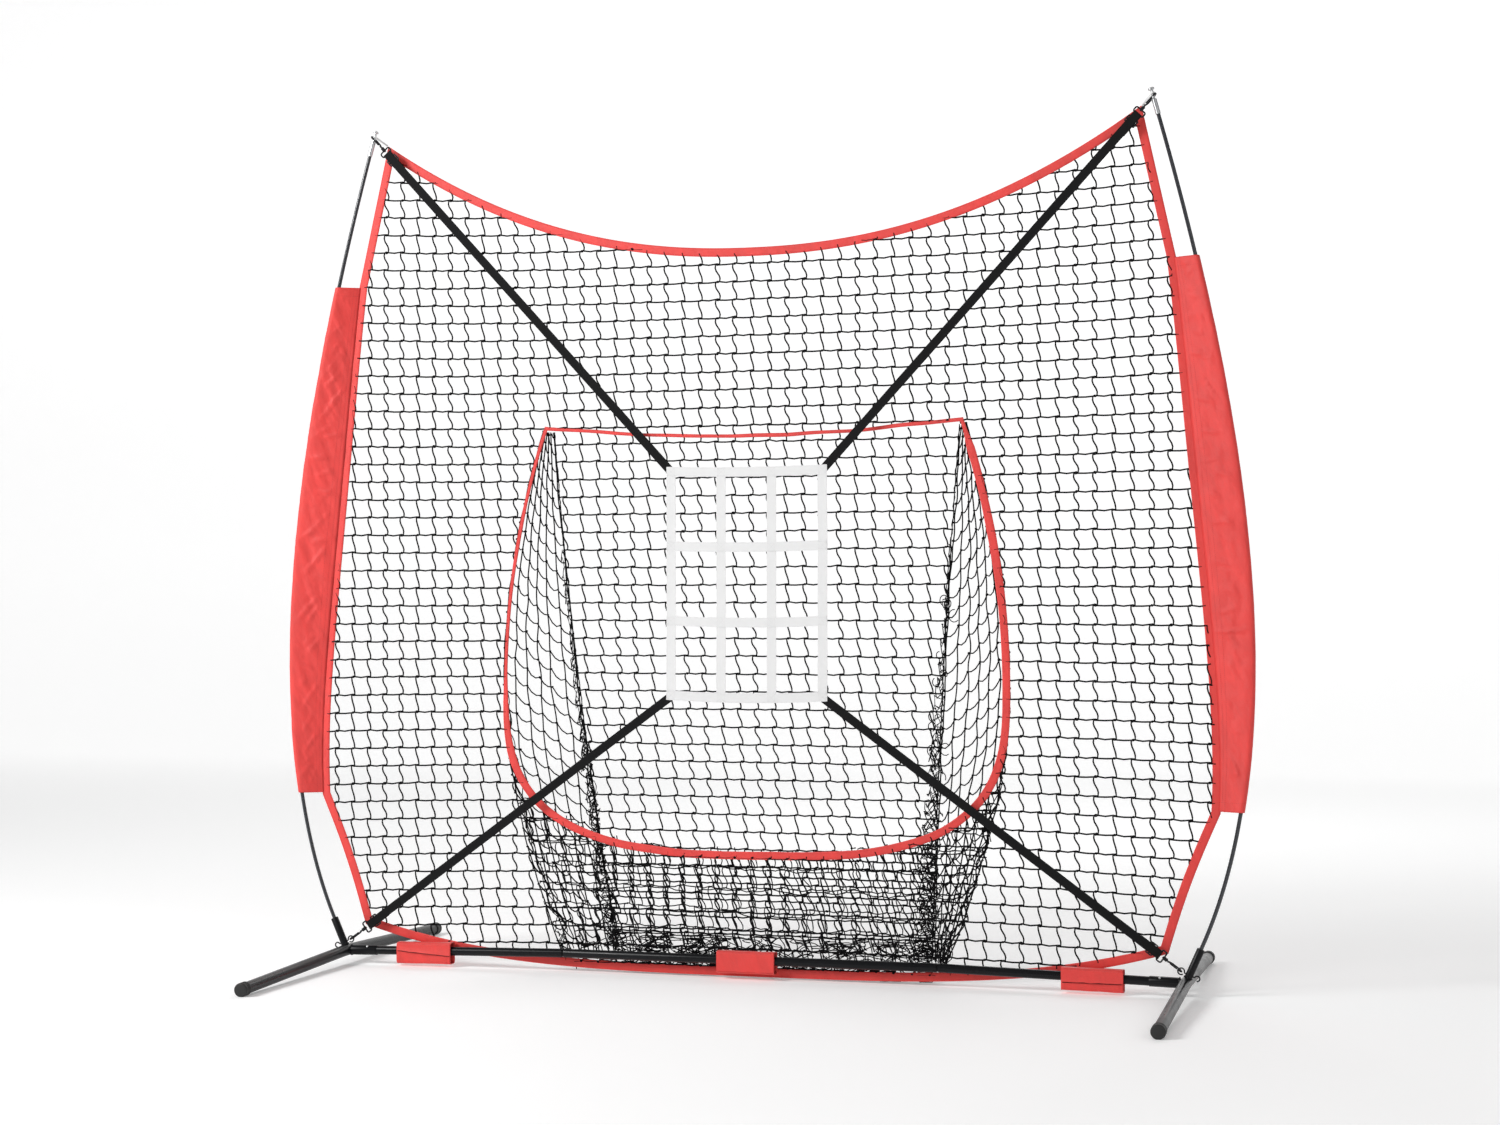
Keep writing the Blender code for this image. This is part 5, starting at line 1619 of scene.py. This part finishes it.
    def curls(self, strands, chance, side, reach):
        """Small loops that stand out beside a back seam."""
        for _ in range(SEAM_CURLS):
            z = chance.uniform(0.08, 0.62) if side < 0 else chance.uniform(0.08, 0.95)
            half, back_y = pocket_back(z)
            radius = chance.uniform(0.006, 0.013)
            centre = side * half + chance.uniform(-0.6, 0.5) * reach * side
            y = back_y - 0.022 - chance.uniform(0.0, 0.01)
            start = chance.uniform(0, FULL_TURN)
            sweep = chance.uniform(3.6, 6.0)
            strands.line([
                (centre + radius * math.cos(start + sweep * t / 9), y + 0.0006 * t,
                 z + radius * 1.2 * math.sin(start + sweep * t / 9))
                for t in range(10)
            ])

    def edges(self, strands, chance):
        """Slack lengths down the outline of the bag."""
        for side in SIDES.values():
            for _ in range(EDGE_STRANDS):
                phase = chance.uniform(0, FULL_TURN)
                points = []
                for share in shares(59):
                    z = 0.72 - 0.67 * share
                    edge = pocket_front(z) - 0.005
                    wide = 0.004 + 0.014 * share
                    swing = wide * math.sin(phase + share * 40) * chance.uniform(0.4, 1.0)
                    y = NET_Y + 0.012 + wide * (1 + math.cos(phase + share * 33))
                    points.append((side * (edge - wide * 0.6) + swing, y, z))
                strands.line(points)

    def pile(self, strands, chance):
        """Twine that lies in a heap where the bag reaches the floor."""
        for _ in range(PILE_STRANDS):
            x = chance.uniform(-0.43, 0.43)
            y = chance.uniform(0.035, 0.20)
            roof = 0.085 - 0.10 * max(0.0, y - 0.10)
            z = chance.uniform(0.006, roof)
            heading = chance.uniform(0, FULL_TURN)
            climb = chance.uniform(-0.5, 0.5)
            curve = chance.uniform(-0.5, 0.5)
            points = []
            for _ in range(chance.randint(12, 26)):
                points.append((x, y, z))
                heading += curve + chance.uniform(-0.35, 0.35)
                climb = max(-0.8, min(0.8, climb + chance.uniform(-0.4, 0.4)))
                x += PILE_STEP * math.cos(heading)
                x = max(-PILE_HALF_WIDTH, min(PILE_HALF_WIDTH, x))
                y = max(PILE_FRONT, min(PILE_BACK, y + PILE_STEP * math.sin(heading)))
                z = max(0.005, min(roof, z + 0.007 * math.sin(climb)))
            strands.line(points)
            strands.knot(points[len(points) // 2])
            strands.knot(points[0])


def tape(shell, inner, outer, y, thickness, wave, seed):
    """Folded tape between two outlines in the net's plane, with softened edges."""
    profile = [
        (0.0, 0.0), (0.02, -0.62), (0.10, -0.95), (0.30, -1.0), (0.50, -0.93), (0.70, -1.0),
        (0.92, -0.95), (0.985, -0.6), (1.0, 0.0), (0.985, 0.6), (0.92, 0.95), (0.5, 0.95),
        (0.10, 0.95), (0.02, 0.62),
    ]
    rings = []
    half = thickness / 2
    for (ix, iz), (ox, oz) in zip(inner, outer):
        pucker = 1 + wave / half * ripple((ix, seed, iz), 55.0)
        lean = wave * ripple((ix, seed + 4, iz), 14.0)
        rings.append([
            (ix + (ox - ix) * t, y + half * b * pucker + lean, iz + (oz - iz) * t)
            for t, b in profile
        ])
    shell.skin(rings, cyclic=True)


def resample(points, pitch):
    """Even spacing along a closed outline."""
    places = [Vector(place) for place in [*points, points[0]]]
    made = []
    spare = 0.0
    for here, after in zip(places, places[1:]):
        length = (after - here).length
        travelled = spare
        while travelled < length:
            made.append(tuple(here.lerp(after, travelled / length)))
            travelled += pitch
        spare = travelled - length
    return made


class NET_OT_bindings(bpy.types.Operator):
    """Red binding round the net and round the pocket's mouth, with its stitches"""

    bl_idname = "net.bindings"
    bl_label = "Bindings"

    def execute(self, context):
        looks = finishes()
        outline = net_outline(80)
        outer = offset_outline(outline, BINDING_WIDTH)
        rim = Shell()
        tape(rim, outline, outer, NET_Y, EDGE_FOLD, 0.00035, 1.0)
        rim.piece(
            "edge_binding", [looks["binding"]], ["net_binding"], angle=70)
        rows = []
        for share in (0.16, 0.86):
            line = offset_outline(outline, BINDING_WIDTH * share)
            for y in (NET_Y - 0.00185, NET_Y + 0.00185):
                rows.append([(x, y, z) for x, z in [*line, line[0]]])
        stitch("edge_stitches", rows, looks["red_thread"])

        mouth = mouth_outline(48)
        ring = Shell()
        inner, outer = [], []
        low_edge = offset_outline(mouth, -BINDING_WIDTH / 2)
        high_edge = offset_outline(mouth, BINDING_WIDTH / 2)
        for (ix, iz), (ox, oz), (x, z) in zip(low_edge, high_edge, mouth):
            top = max(0.0, min(1.0, (z - 1.30) / 0.045))
            left = max(0.0, min(1.0, (z - 0.55) / 0.2)) * (x < -0.5)
            narrow = 1 - 0.52 * max(top, left) - 0.14 * (0.5 + 0.5 * ripple((x, 0, z), 7.0))
            drift = 0.0020 * ripple((x, 2, z), 9.0) * (1 + top)
            inner.append((x + (ix - x) * narrow, z + (iz - z) * narrow + drift))
            outer.append((x + (ox - x) * narrow, z + (oz - z) * narrow + drift))
        tape(ring, inner, outer, NET_Y, EDGE_FOLD, 0.0005, 2.0)
        ring.piece(
            "mouth_edge_binding", [looks["binding"]], ["mouth_binding"],
            angle=70)
        rows = []
        for share in (0.2, 0.8):
            line = [
                (ix + (ox - ix) * share, NET_Y - 0.0019, iz + (oz - iz) * share)
                for (ix, iz), (ox, oz) in zip(inner, outer)
            ]
            rows.append([*line, line[0]])
        stitch("mouth_stitches", rows, looks["red_thread"])
        return {"FINISHED"}


class NET_OT_sleeves(bpy.types.Operator):
    """Red sleeves round the poles, with hems, seam and creases"""

    bl_idname = "net.sleeves"
    bl_label = "Pole sleeves"

    def execute(self, context):
        looks = finishes()
        sizes = context.scene.net_sizes
        outline = offset_outline(net_outline(80), BINDING_WIDTH)
        edge = sorted({
            (round(z, 6), x) for x, z in outline
            if x > 0.9 and SLEEVE_BOTTOM_Z - 0.05 < z < SLEEVE_TOP_Z + 0.05
        })
        for name, side in SIDES.items():
            self.sleeve(name, side, looks, sizes, edge)
        return {"FINISHED"}

    def folds(self, side, seed):
        """Slanting folds: level, slope, width, height, and where across they start and end."""
        chance = random.Random(seed * 10 + side)
        made = []
        length = SLEEVE_TOP_Z - SLEEVE_BOTTOM_Z
        for number in range(SLEEVE_FOLDS):
            at = SLEEVE_BOTTOM_Z + length * (number + chance.random()) / SLEEVE_FOLDS
            start = chance.uniform(-0.05, 0.4)
            made.append((
                at, chance.uniform(-0.16, 0.05), chance.uniform(0.004, 0.010),
                chance.uniform(0.25, 0.75), start, start + chance.uniform(0.4, 0.8),
            ))
        if side > 0:
            made.append((0.86, 0.004, 0.004, 0.9, -0.05, 1.05))
        return made

    def ring(self, side, height, edge, sizes, seed, folds):
        """Points from the front seam round the pole to the back seam at one level."""
        pole = pole_x(height)
        seam = table_lookup(edge, height) - 0.004
        room = SLEEVE_POLE_ROOM - 0.0012
        front = []
        flat_points = SLEEVE_FLAT_POINTS
        half = 0.0026
        for step in range(flat_points):
            share = step / flat_points
            x = seam + (pole - seam) * share
            y = -(room + 0.0006) * share + (NET_Y - half) * (1 - share) ** 1.15
            front.append((x, y, share))
        half_round = arc((pole, 0), room, -math.pi / 2, math.pi / 2, SLEEVE_BOW_POINTS)
        bow = [(x, y, 1.0) for x, y in half_round]
        back = []
        for step in range(flat_points - 1, -1, -1):
            share = step / flat_points
            x = seam + (pole - seam) * share
            y = (room + 0.0006) * share + (NET_Y + half) * (1 - share) ** 1.15
            back.append((x, y, share))
        points = []
        level = (height - SLEEVE_BOTTOM_Z) / (SLEEVE_TOP_Z - SLEEVE_BOTTOM_Z)
        for index, (x, y, share) in enumerate(front + bow + back):
            facing = -1 if index < flat_points + SLEEVE_BOW_POINTS // 2 else 1
            slack = math.sin(math.pi * min(1.0, share * 0.9)) * 0.9 + 0.1
            slant = (height * 1.0 + x * 1.5 * side, seed, height * 0.25 - x * 2.0)
            loose = ripple(slant, 19.0, seed) * 0.5 + ripple(slant, 60.0, seed + 3) * 0.22
            for at, slope, wide, high, start, end in folds:
                if not start < share < end:
                    continue
                away = (height - at - slope * (share - 0.5) + 0.004 * loose) / wide
                if abs(away) > 3:
                    continue
                taper = math.sin(math.pi * (share - start) / (end - start))
                loose += high * taper * math.exp(-away * away * (1.0 if away > 0 else 3.0))
            ends = 1.0 - 0.6 * math.exp(-level * 30) - 0.6 * math.exp(-(1 - level) * 30)
            lift = max(-0.0035, min(0.0065, sizes.wrinkle * loose * slack * ends))
            points.append((side * (x + 0.25 * lift), y + facing * lift, height))
        return points

    def sleeve(self, name, side, looks, sizes, edge):
        folds = self.folds(side, sizes.seed)
        rings = []
        for row in range(SLEEVE_ROWS + 1):
            height = SLEEVE_BOTTOM_Z + (SLEEVE_TOP_Z - SLEEVE_BOTTOM_Z) * row / SLEEVE_ROWS
            rings.append(self.ring(side, height, edge, sizes, 3.0 + side, folds))
        cloth = Shell()
        cloth.skin(rings, closed=False, caps=False)
        obj = cloth.piece(
            f"pole_sleeve_{name}", [looks["cloth"]], [f"sleeve_{name}"],
            angle=75)
        wall = obj.modifiers.new("cloth", "SOLIDIFY")
        wall.thickness = CLOTH_WALL
        wall.offset = 0.0
        rows = []
        for share_index in (2, 4):
            rows.append([
                (ring[share_index][0], ring[share_index][1] - 0.0007, ring[share_index][2])
                for ring in rings
            ])
        for row in (5, len(rings) - 6):
            ring = rings[row]
            rows.append([(x, y - 0.0007, z) for x, y, z in ring[:22]])
            rows.append([(x, y + 0.0007, z) for x, y, z in ring[24:]])
        stitch(f"sleeve_stitches_{name}", rows, looks["red_thread"])


class NET_OT_tabs(bpy.types.Operator):
    """Red tabs that hold the net's lower edge to the crossbar"""

    bl_idname = "net.tabs"
    bl_label = "Crossbar tabs"

    def execute(self, context):
        looks = finishes()
        for number, (name, x) in enumerate((("left", -TAB_X), ("middle", 0.0), ("right", TAB_X))):
            if abs(x) < BAR_JOINT_X:
                bar_z = BAR_Z
            else:
                bar_z = JUNCTION_Z + (HALF_WIDTH - abs(x)) * math.tan(BAR_SLOPE)
            low, high = bar_z - TAB_DROP, bar_z + TAB_RAISE
            loop = rounded_rectangle(-TAB_FRONT + 0.0012, TAB_BACK - 0.0012, low + 0.0015,
                                     high - 0.0015, 0.0062, 6)
            fine = resample(loop, 0.0032)
            slope = 0.0 if abs(x) < BAR_JOINT_X else -math.copysign(math.tan(BAR_SLOPE), x)
            rings = []
            columns = 30
            for share in shares(columns):
                at = x + TAB_LENGTH * (share - 0.5) * 0.985
                ring = []
                for y, z in fine:
                    fold = ripple((at * 26, y * 30, z * 30), 1.0, number * 3.0)
                    hollow = (1 - (2 * share - 1) ** 2) * 0.0009 * (1 if y < 0 else -1)
                    y_now = y + 0.0011 * fold + hollow
                    ring.append((at, y_now, z + 0.0008 * fold + slope * (at - x) * 0.8))
                rings.append(ring)
            tab = Shell()
            tab.skin(rings, closed=True, caps=False)
            obj = tab.piece(
                f"bar_tab_{name}", [looks["cloth"]], [f"tab_{name}"],
                angle=60)
            wall = obj.modifiers.new("cloth", "SOLIDIFY")
            wall.thickness = TAB_WALL
            wall.offset = 0.0
            rows = []
            for column in (2, columns - 2):
                ring = rings[column]
                rows.append([(p[0], p[1] - 0.0008 * (1 if p[1] < 0 else -1), p[2])
                             for p in [*ring, ring[0]]])
            stitch(f"tab_stitches_{name}", rows, looks["red_thread"], pitch=0.004)
            self.flap(name, x, slope, low, high, looks)
        return {"FINISHED"}

    def flap(self, name, x, slope, low, high, looks):
        """Outer lap of a tab; its free edge stands off over a dark slit, and a black strip there is
        painted shade.
        """
        free, rise, lift = TAB_LAPS[name]
        flap = Shell()
        rings = []
        columns = 36
        for share in shares(columns):
            at = x + TAB_LENGTH * (share - 0.5) * 0.97
            drop = slope * (at - x) * 0.8
            edge = low + free * (high - low) + rise * (share - 0.5)
            edge += 0.0012 * ripple((at, 0, 0), 50.0)
            top = high - 0.0055
            front = -TAB_FRONT + 0.0004
            outer, inner = [], []
            for down in shares(8):
                z = top + (edge - top) * down
                stand = 0.0005 + lift * down ** 3 * (0.6 + 0.4 * math.sin(math.pi * share))
                stand += 0.0006 * ripple((at * 30, down * 2, x), 1.0) * down
                outer.append((at, front - stand - 0.0009, z + drop))
                inner.append((at, front - stand, z + drop))
            rings.append(outer + inner[::-1])
        flap.skin(rings)
        flap.piece(f"tab_flap_{name}", [looks["cloth"]], angle=50)
        if name == "middle":
            return
        # Painted shade: a thin black strip along the lap's free edge stands in for the shadow in
        # the slit.
        slit = Shell()
        points = []
        for share in shares(columns):
            at = x + TAB_LENGTH * (share - 0.5) * 0.95
            edge = low + free * (high - low) + rise * (share - 0.5)
            points.append(Vector((at, -TAB_FRONT + 0.0002, edge - 0.0008 + slope * (at - x) * 0.8)))
        section = [(-0.0005, -0.0011), (0.0005, -0.0011), (0.0005, 0.0011), (-0.0005, 0.0011)]
        slit.sweep(points, section, UP)
        slit.piece(f"tab_slit_painted_shade_{name}", [looks["strap"]])


def tape_section(half, deep, selvedge, hollow):
    """Outline across a webbing: rounded edges, a thick selvedge and a thinner middle."""
    low = [(-half, -deep * 0.3), (-half + 0.0004, -deep), (-half + selvedge, -deep * hollow)]
    low += [(half - selvedge, -deep * hollow), (half - 0.0004, -deep), (half, -deep * 0.3)]
    return low + [(-across, -up) for across, up in low]


def sewn_box(centre, across, upward, half_x, half_z, out):
    """Path of a sewn rectangle with a cross in it."""
    c = Vector(centre) + out
    a, u = across * half_x, upward * half_z
    return [
        [c - a - u, c + a - u, c + a + u, c - a + u, c - a - u],
        [c - a - u, c + a + u], [c + a - u, c - a + u],
    ]


class NET_OT_target(bpy.types.Operator):
    """Strike-zone grid of sewn webbing"""

    bl_idname = "net.target"
    bl_label = "Target"

    def execute(self, context):
        looks = finishes()
        sag = context.scene.net_sizes.sag
        half_w, half_h = TARGET_WIDTH / 2, TARGET_HEIGHT / 2
        inset = TARGET_TAPE / 2
        section = tape_section(TARGET_TAPE / 2, TARGET_LAYER / 2, 0.0016, 0.86)
        grid = Shell()
        rows = []
        pitch_x = (TARGET_WIDTH - TARGET_TAPE) / TARGET_CELLS
        pitch_z = (TARGET_HEIGHT - TARGET_TAPE) / TARGET_CELLS

        def droop(x, level):
            share = x / half_w
            return -sag * (1 - share ** 2) * (0.55 + 0.45 * (1 - (level + 1) / 2))

        xs = [-half_w + inset + pitch_x * i for i in range(TARGET_CELLS + 1)]
        levels = [-half_h + inset + pitch_z * j for j in range(TARGET_CELLS + 1)]
        for i, x in enumerate(xs):
            path = []
            for share in shares(TARGET_STEPS):
                z = -half_h + 0.0006 + (TARGET_HEIGHT - 0.0012) * share
                fold = 0.0007 * ripple((x * 3, 0, z), 16.0)
                sway = 0.0012 * ripple((x * 9, 4, z), 7.0)
                lower = droop(x, z / half_h)
                path.append(Vector((x + sway, TARGET_Y + 0.00045 + fold * 0.4,
                                    TARGET_CENTRE_Z + z + lower)))
            grid.sweep(path, section, INTO)
        for j, z in enumerate(levels):
            path = []
            for share in shares(TARGET_STEPS):
                x = -half_w + 0.0006 + (TARGET_WIDTH - 0.0012) * share
                fold = 0.0006 * ripple((x, 0, z * 5), 18.0)
                lower = droop(x, z / half_h)
                path.append(Vector((x, TARGET_Y - 0.00055 + fold * 0.4,
                                    TARGET_CENTRE_Z + z + lower)))
            grid.sweep(path, section, INTO)
        for x in xs:
            for z in levels:
                centre = (x, TARGET_Y, TARGET_CENTRE_Z + z + droop(x, z / half_h))
                rows += sewn_box(centre, Vector((1, 0, 0)), UP, 0.0088, 0.0088,
                                 Vector((0, -0.00115, 0)))
        grid.piece("target_webbing", [looks["target"]], ["target_grid"])
        stitch("target_stitches", rows, looks["white_thread"], pitch=0.0034, length=0.0013,
               radius=0.00032)
        return {"FINISHED"}


class NET_OT_straps(bpy.types.Operator):
    """Black elastic straps and the loops at the pole tips"""

    bl_idname = "net.straps"
    bl_label = "Straps and loops"

    def execute(self, context):
        looks = finishes()
        for level_name, level in LEVELS.items():
            for side_name, side in SIDES.items():
                self.strap(f"{level_name}_{side_name}", side, level, looks)
        for name, side in SIDES.items():
            self.loop(name, side, looks)
        return {"FINISHED"}

    def strap(self, name, side, level, looks):
        matrix, length = strap_frame(side, level)
        middle = RING_WIRE / 2 + GAP + STRAP_THICKNESS / 2
        end = length + STRAP_LAP
        back = RING_BAR_X + STRAP_RETURN
        path = []
        steps = 60
        for step in range(steps + 1):
            x = end + (RING_BAR_X - end) * step / steps
            near = math.exp(-abs(x - end) / 0.02)
            wander = 0.0003 * ripple((x, side, level), 9.0)
            path.append(Vector((x, -middle + wander * (1 - near), 0)))
        for turn in range(1, 12):
            angle = 3 * math.pi / 2 - math.pi * turn / 12
            path.append(Vector((RING_BAR_X + middle * math.cos(angle),
                                middle * math.sin(angle), 0)))
        for step in range(13):
            path.append(Vector((RING_BAR_X + (back - RING_BAR_X) * step / 12, middle, 0)))
        band = Shell()
        section = tape_section(
            STRAP_WIDTH / 2 - 0.0002, STRAP_THICKNESS / 2 - 0.00005, 0.002, 0.88)
        rings = []
        for index, place in enumerate(path):
            before, after = path[max(0, index - 1)], path[min(len(path) - 1, index + 1)]
            tangent = (after - before).normalized()
            normal = Vector((-tangent.y, tangent.x, 0))
            rings.append([matrix @ (place + UP * a + normal * b) for a, b in section])
        band.skin(rings)
        band.piece(f"strap_band_{name}", [looks["strap"]], [f"strap_{name}"])
        rows = []
        across = matrix.to_3x3() @ Vector((1, 0, 0))
        upward = matrix.to_3x3() @ UP
        centre = matrix @ Vector((length + STRAP_LAP * 0.42, -middle, 0))
        out = Vector((0, STRAP_THICKNESS / 2 + 0.0001, 0))
        rows += sewn_box(centre, across, upward, 0.0075, 0.0085, out)
        lap = matrix @ Vector((back - 0.010, middle, 0))
        rows += sewn_box(lap, across, upward, 0.006, 0.0085, out)
        stitch(f"strap_stitches_{name}", rows, looks["black_thread"], pitch=0.003, length=0.0011)

    def loop(self, name, side, looks):
        outline = offset_outline(net_outline(10), BINDING_WIDTH)
        corner_x, corner_z = max(outline, key=lambda place: place[1] + place[0] * 0.01)
        corner = Vector((side * corner_x, NET_Y, corner_z))
        centre = neck_point(side, LOOP_LEVEL)
        x_axis = (corner - centre).normalized()
        z_axis = (tip_axis(side) - x_axis * tip_axis(side).dot(x_axis)).normalized()
        rotation = Matrix((x_axis, z_axis.cross(x_axis), z_axis)).transposed().to_4x4()
        matrix = Matrix.Translation(centre) @ rotation
        end = 0.0022 - 0.0005
        length = (corner - centre).length - 0.0022 - BINDING_THICKNESS / 2
        big = TIP_NECK_OD / 2 + 0.0014 + 0.0005
        lean = math.acos((big - end) / length)
        path = arc((length, 0), end, -lean, lean, 10)
        path += arc((0, 0), big, lean, 2 * math.pi - lean, 28)
        path = [Vector((x, y, 0)) for x, y in path]
        band = Shell()
        section = rounded_rectangle(-0.0005, 0.0005, -0.0019, 0.0019, 0.0003, 2)
        band.sweep(path, section, UP, cyclic=True, matrix=matrix)
        band.piece(f"loop_{name}", [looks["target"]], [f"tip_loop_{name}"])


class NET_OT_hardware(bpy.types.Operator):
    """Snap hooks, their gates, strap rings and adjusters"""

    bl_idname = "net.hardware"
    bl_label = "Hooks and adjusters"

    def execute(self, context):
        looks = finishes()
        for level_name, level in LEVELS.items():
            for side_name, side in SIDES.items():
                name = f"{level_name}_{side_name}"
                matrix, _ = strap_frame(side, level)
                self.hook(name, matrix, looks)
                self.ring(name, matrix, looks)
                self.slider(name, looks)
        return {"FINISHED"}

    def hook(self, name, matrix, looks):
        radius = HOOK_HALF_WIDTH + HOOK_WIRE / 2
        bight = arc((0, 0), radius, -math.pi / 2, -3 * math.pi / 2, 20)
        shank = [(HOOK_LENGTH * 0.4, radius), (HOOK_LENGTH * 0.75, radius)]
        shank += [(HOOK_LENGTH * 0.87, radius * 0.93), (HOOK_LENGTH * 0.95, radius * 0.72)]
        crown = [(HOOK_LENGTH + HOOK_WIRE / 2, radius * 0.2), (HOOK_LENGTH + HOOK_WIRE, 0)]
        line = [(0.002, -radius), *bight, *shank, *crown]
        hook = Shell()
        hook.rod([Vector((x, y, 0)) for x, y in line], HOOK_WIRE / 2, UP, 14,
                 round_ends=0.0012, matrix=matrix)
        pivot_x, pivot_y = HOOK_LENGTH, -radius
        arm = [Vector((HOOK_LENGTH + HOOK_WIRE * 1.1, 0.0002, 0)),
               Vector((pivot_x + GATE_WIRE * 1.35, pivot_y * 0.80, 0))]
        hook.rod(arm, HOOK_WIRE / 2, UP, 14, round_ends=0.0012, matrix=matrix)
        stem_end = RING_X + RING_WIRE / 2 + 0.0004
        axle = matrix @ Matrix.Rotation(math.pi / 2, 4, "Y")
        stem = HOOK_STEM / 2
        profile = [(0, HOOK_LENGTH + 0.002), (stem, HOOK_LENGTH + 0.002), (stem, stem_end)]
        profile += [(RIVET_OD / 2 - 0.0004, stem_end), (RIVET_OD / 2, stem_end + 0.0004)]
        profile += [(RIVET_OD / 2 - 0.0006, stem_end + 0.0012), (0, stem_end + 0.0015)]
        hook.turned(profile, axle, segments=20)
        body = f"snap_hook_{name}"
        hook.piece(f"hook_{name}", [looks["wire"]], [body], body=body)
        gate = Shell()
        nose_x = 0.002 + 0.0008
        gate.rod([Vector((pivot_x, pivot_y, 0)), Vector(((pivot_x + nose_x) / 2, pivot_y, 0)),
                  Vector((nose_x, pivot_y, 0))], GATE_WIRE / 2, UP, 14, round_ends=0.0014,
                 matrix=matrix)
        body = f"hook_gate_{name}"
        gate.piece(f"gate_{name}", [looks["wire"]], [body], body=body)

    def ring(self, name, matrix, looks):
        half = STRAP_WIDTH / 2 + RING_WIRE / 2 + SLIDER_SIDE_ROOM
        outline = rounded_rectangle(RING_X, RING_BAR_X, -half, half, 0.004, 6)
        ring = Shell()
        path = [Vector((x, 0, z)) for x, z in outline]
        ring.rod(path, RING_WIRE / 2, INTO, 14, cyclic=True, matrix=matrix)
        axle = matrix @ Matrix.Rotation(math.pi / 2, 4, "Y")
        outer, bore = BARREL_OD / 2, HOOK_STEM / 2 + 0.0004
        far = RING_X + RING_WIRE / 2
        profile = [(bore, BARREL_X), (outer - 0.0008, BARREL_X), (outer, BARREL_X + 0.0008)]
        profile += [(outer, BARREL_X + 0.0034), (outer - 0.0005, BARREL_X + 0.0038)]
        profile += [(outer - 0.0005, BARREL_X + 0.0048), (outer, BARREL_X + 0.0052)]
        profile += [(outer, far - 0.0008), (outer - 0.0008, far), (bore, far)]
        ring.turned(profile, axle, 24, hollow=True)
        ring.piece(f"ring_{name}", [looks["wire"]], [f"hook_base_{name}"])

    def slider(self, name, looks):
        """Adjuster with its stamped edges rounded."""
        body = f"strap_slider_{name}"
        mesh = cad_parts[body].data.copy()
        mesh.materials.clear()
        mesh.materials.append(looks["wire"])
        fixer = bmesh.new()
        fixer.from_mesh(mesh)
        bmesh.ops.remove_doubles(fixer, verts=fixer.verts, dist=0.00002)
        bmesh.ops.dissolve_limit(
            fixer, angle_limit=math.radians(2), verts=fixer.verts, edges=fixer.edges)
        bmesh.ops.recalc_face_normals(fixer, faces=fixer.faces)
        sharp = [e for e in fixer.edges if len(e.link_faces) == 2
                 and e.calc_face_angle() > math.radians(50)]
        bmesh.ops.bevel(fixer, geom=sharp, offset=0.0005, segments=2, affect="EDGES",
                        profile=0.5)
        fixer.to_mesh(mesh)
        fixer.free()
        show(f"adjuster_{name}", mesh, [body], body, 50)


class NET_PT_panel(bpy.types.Panel):
    """Sizes, colours and steps of the pitching target net"""

    bl_label = "Pitching target net"
    bl_idname = "NET_PT_panel"
    bl_space_type = "VIEW_3D"
    bl_region_type = "UI"
    bl_category = "Pitching net"

    def draw(self, context):
        layout = self.layout
        for group in (context.scene.net_sizes, context.scene.net_colours, context.scene.net_stage):
            box = layout.box()
            for name in group.__annotations__:
                box.prop(group, name)
        for step in STEPS:
            layout.operator(step.bl_idname)


STEPS = (
    NET_OT_stage, NET_OT_base, NET_OT_poles, NET_OT_netting, NET_OT_pocket, NET_OT_bindings,
    NET_OT_sleeves, NET_OT_tabs, NET_OT_target, NET_OT_straps, NET_OT_hardware,
)
GROUPS = {"net_sizes": NetSizes, "net_colours": NetColours, "net_stage": StageSizes}


def register():
    for group in (*GROUPS.values(), *STEPS, NET_PT_panel):
        bpy.utils.register_class(group)
    for name, group in GROUPS.items():
        setattr(bpy.types.Scene, name, bpy.props.PointerProperty(type=group))


def unregister():
    for name in GROUPS:
        delattr(bpy.types.Scene, name)
    for group in reversed((*GROUPS.values(), *STEPS, NET_PT_panel)):
        bpy.utils.unregister_class(group)


def main():
    bpy.context.view_layer.update()
    register()
    for step in STEPS:
        family, action = step.bl_idname.split(".")
        getattr(getattr(bpy.ops, family), action)()
    bpy.context.view_layer.update()


if __name__ == "__main__":
    main()
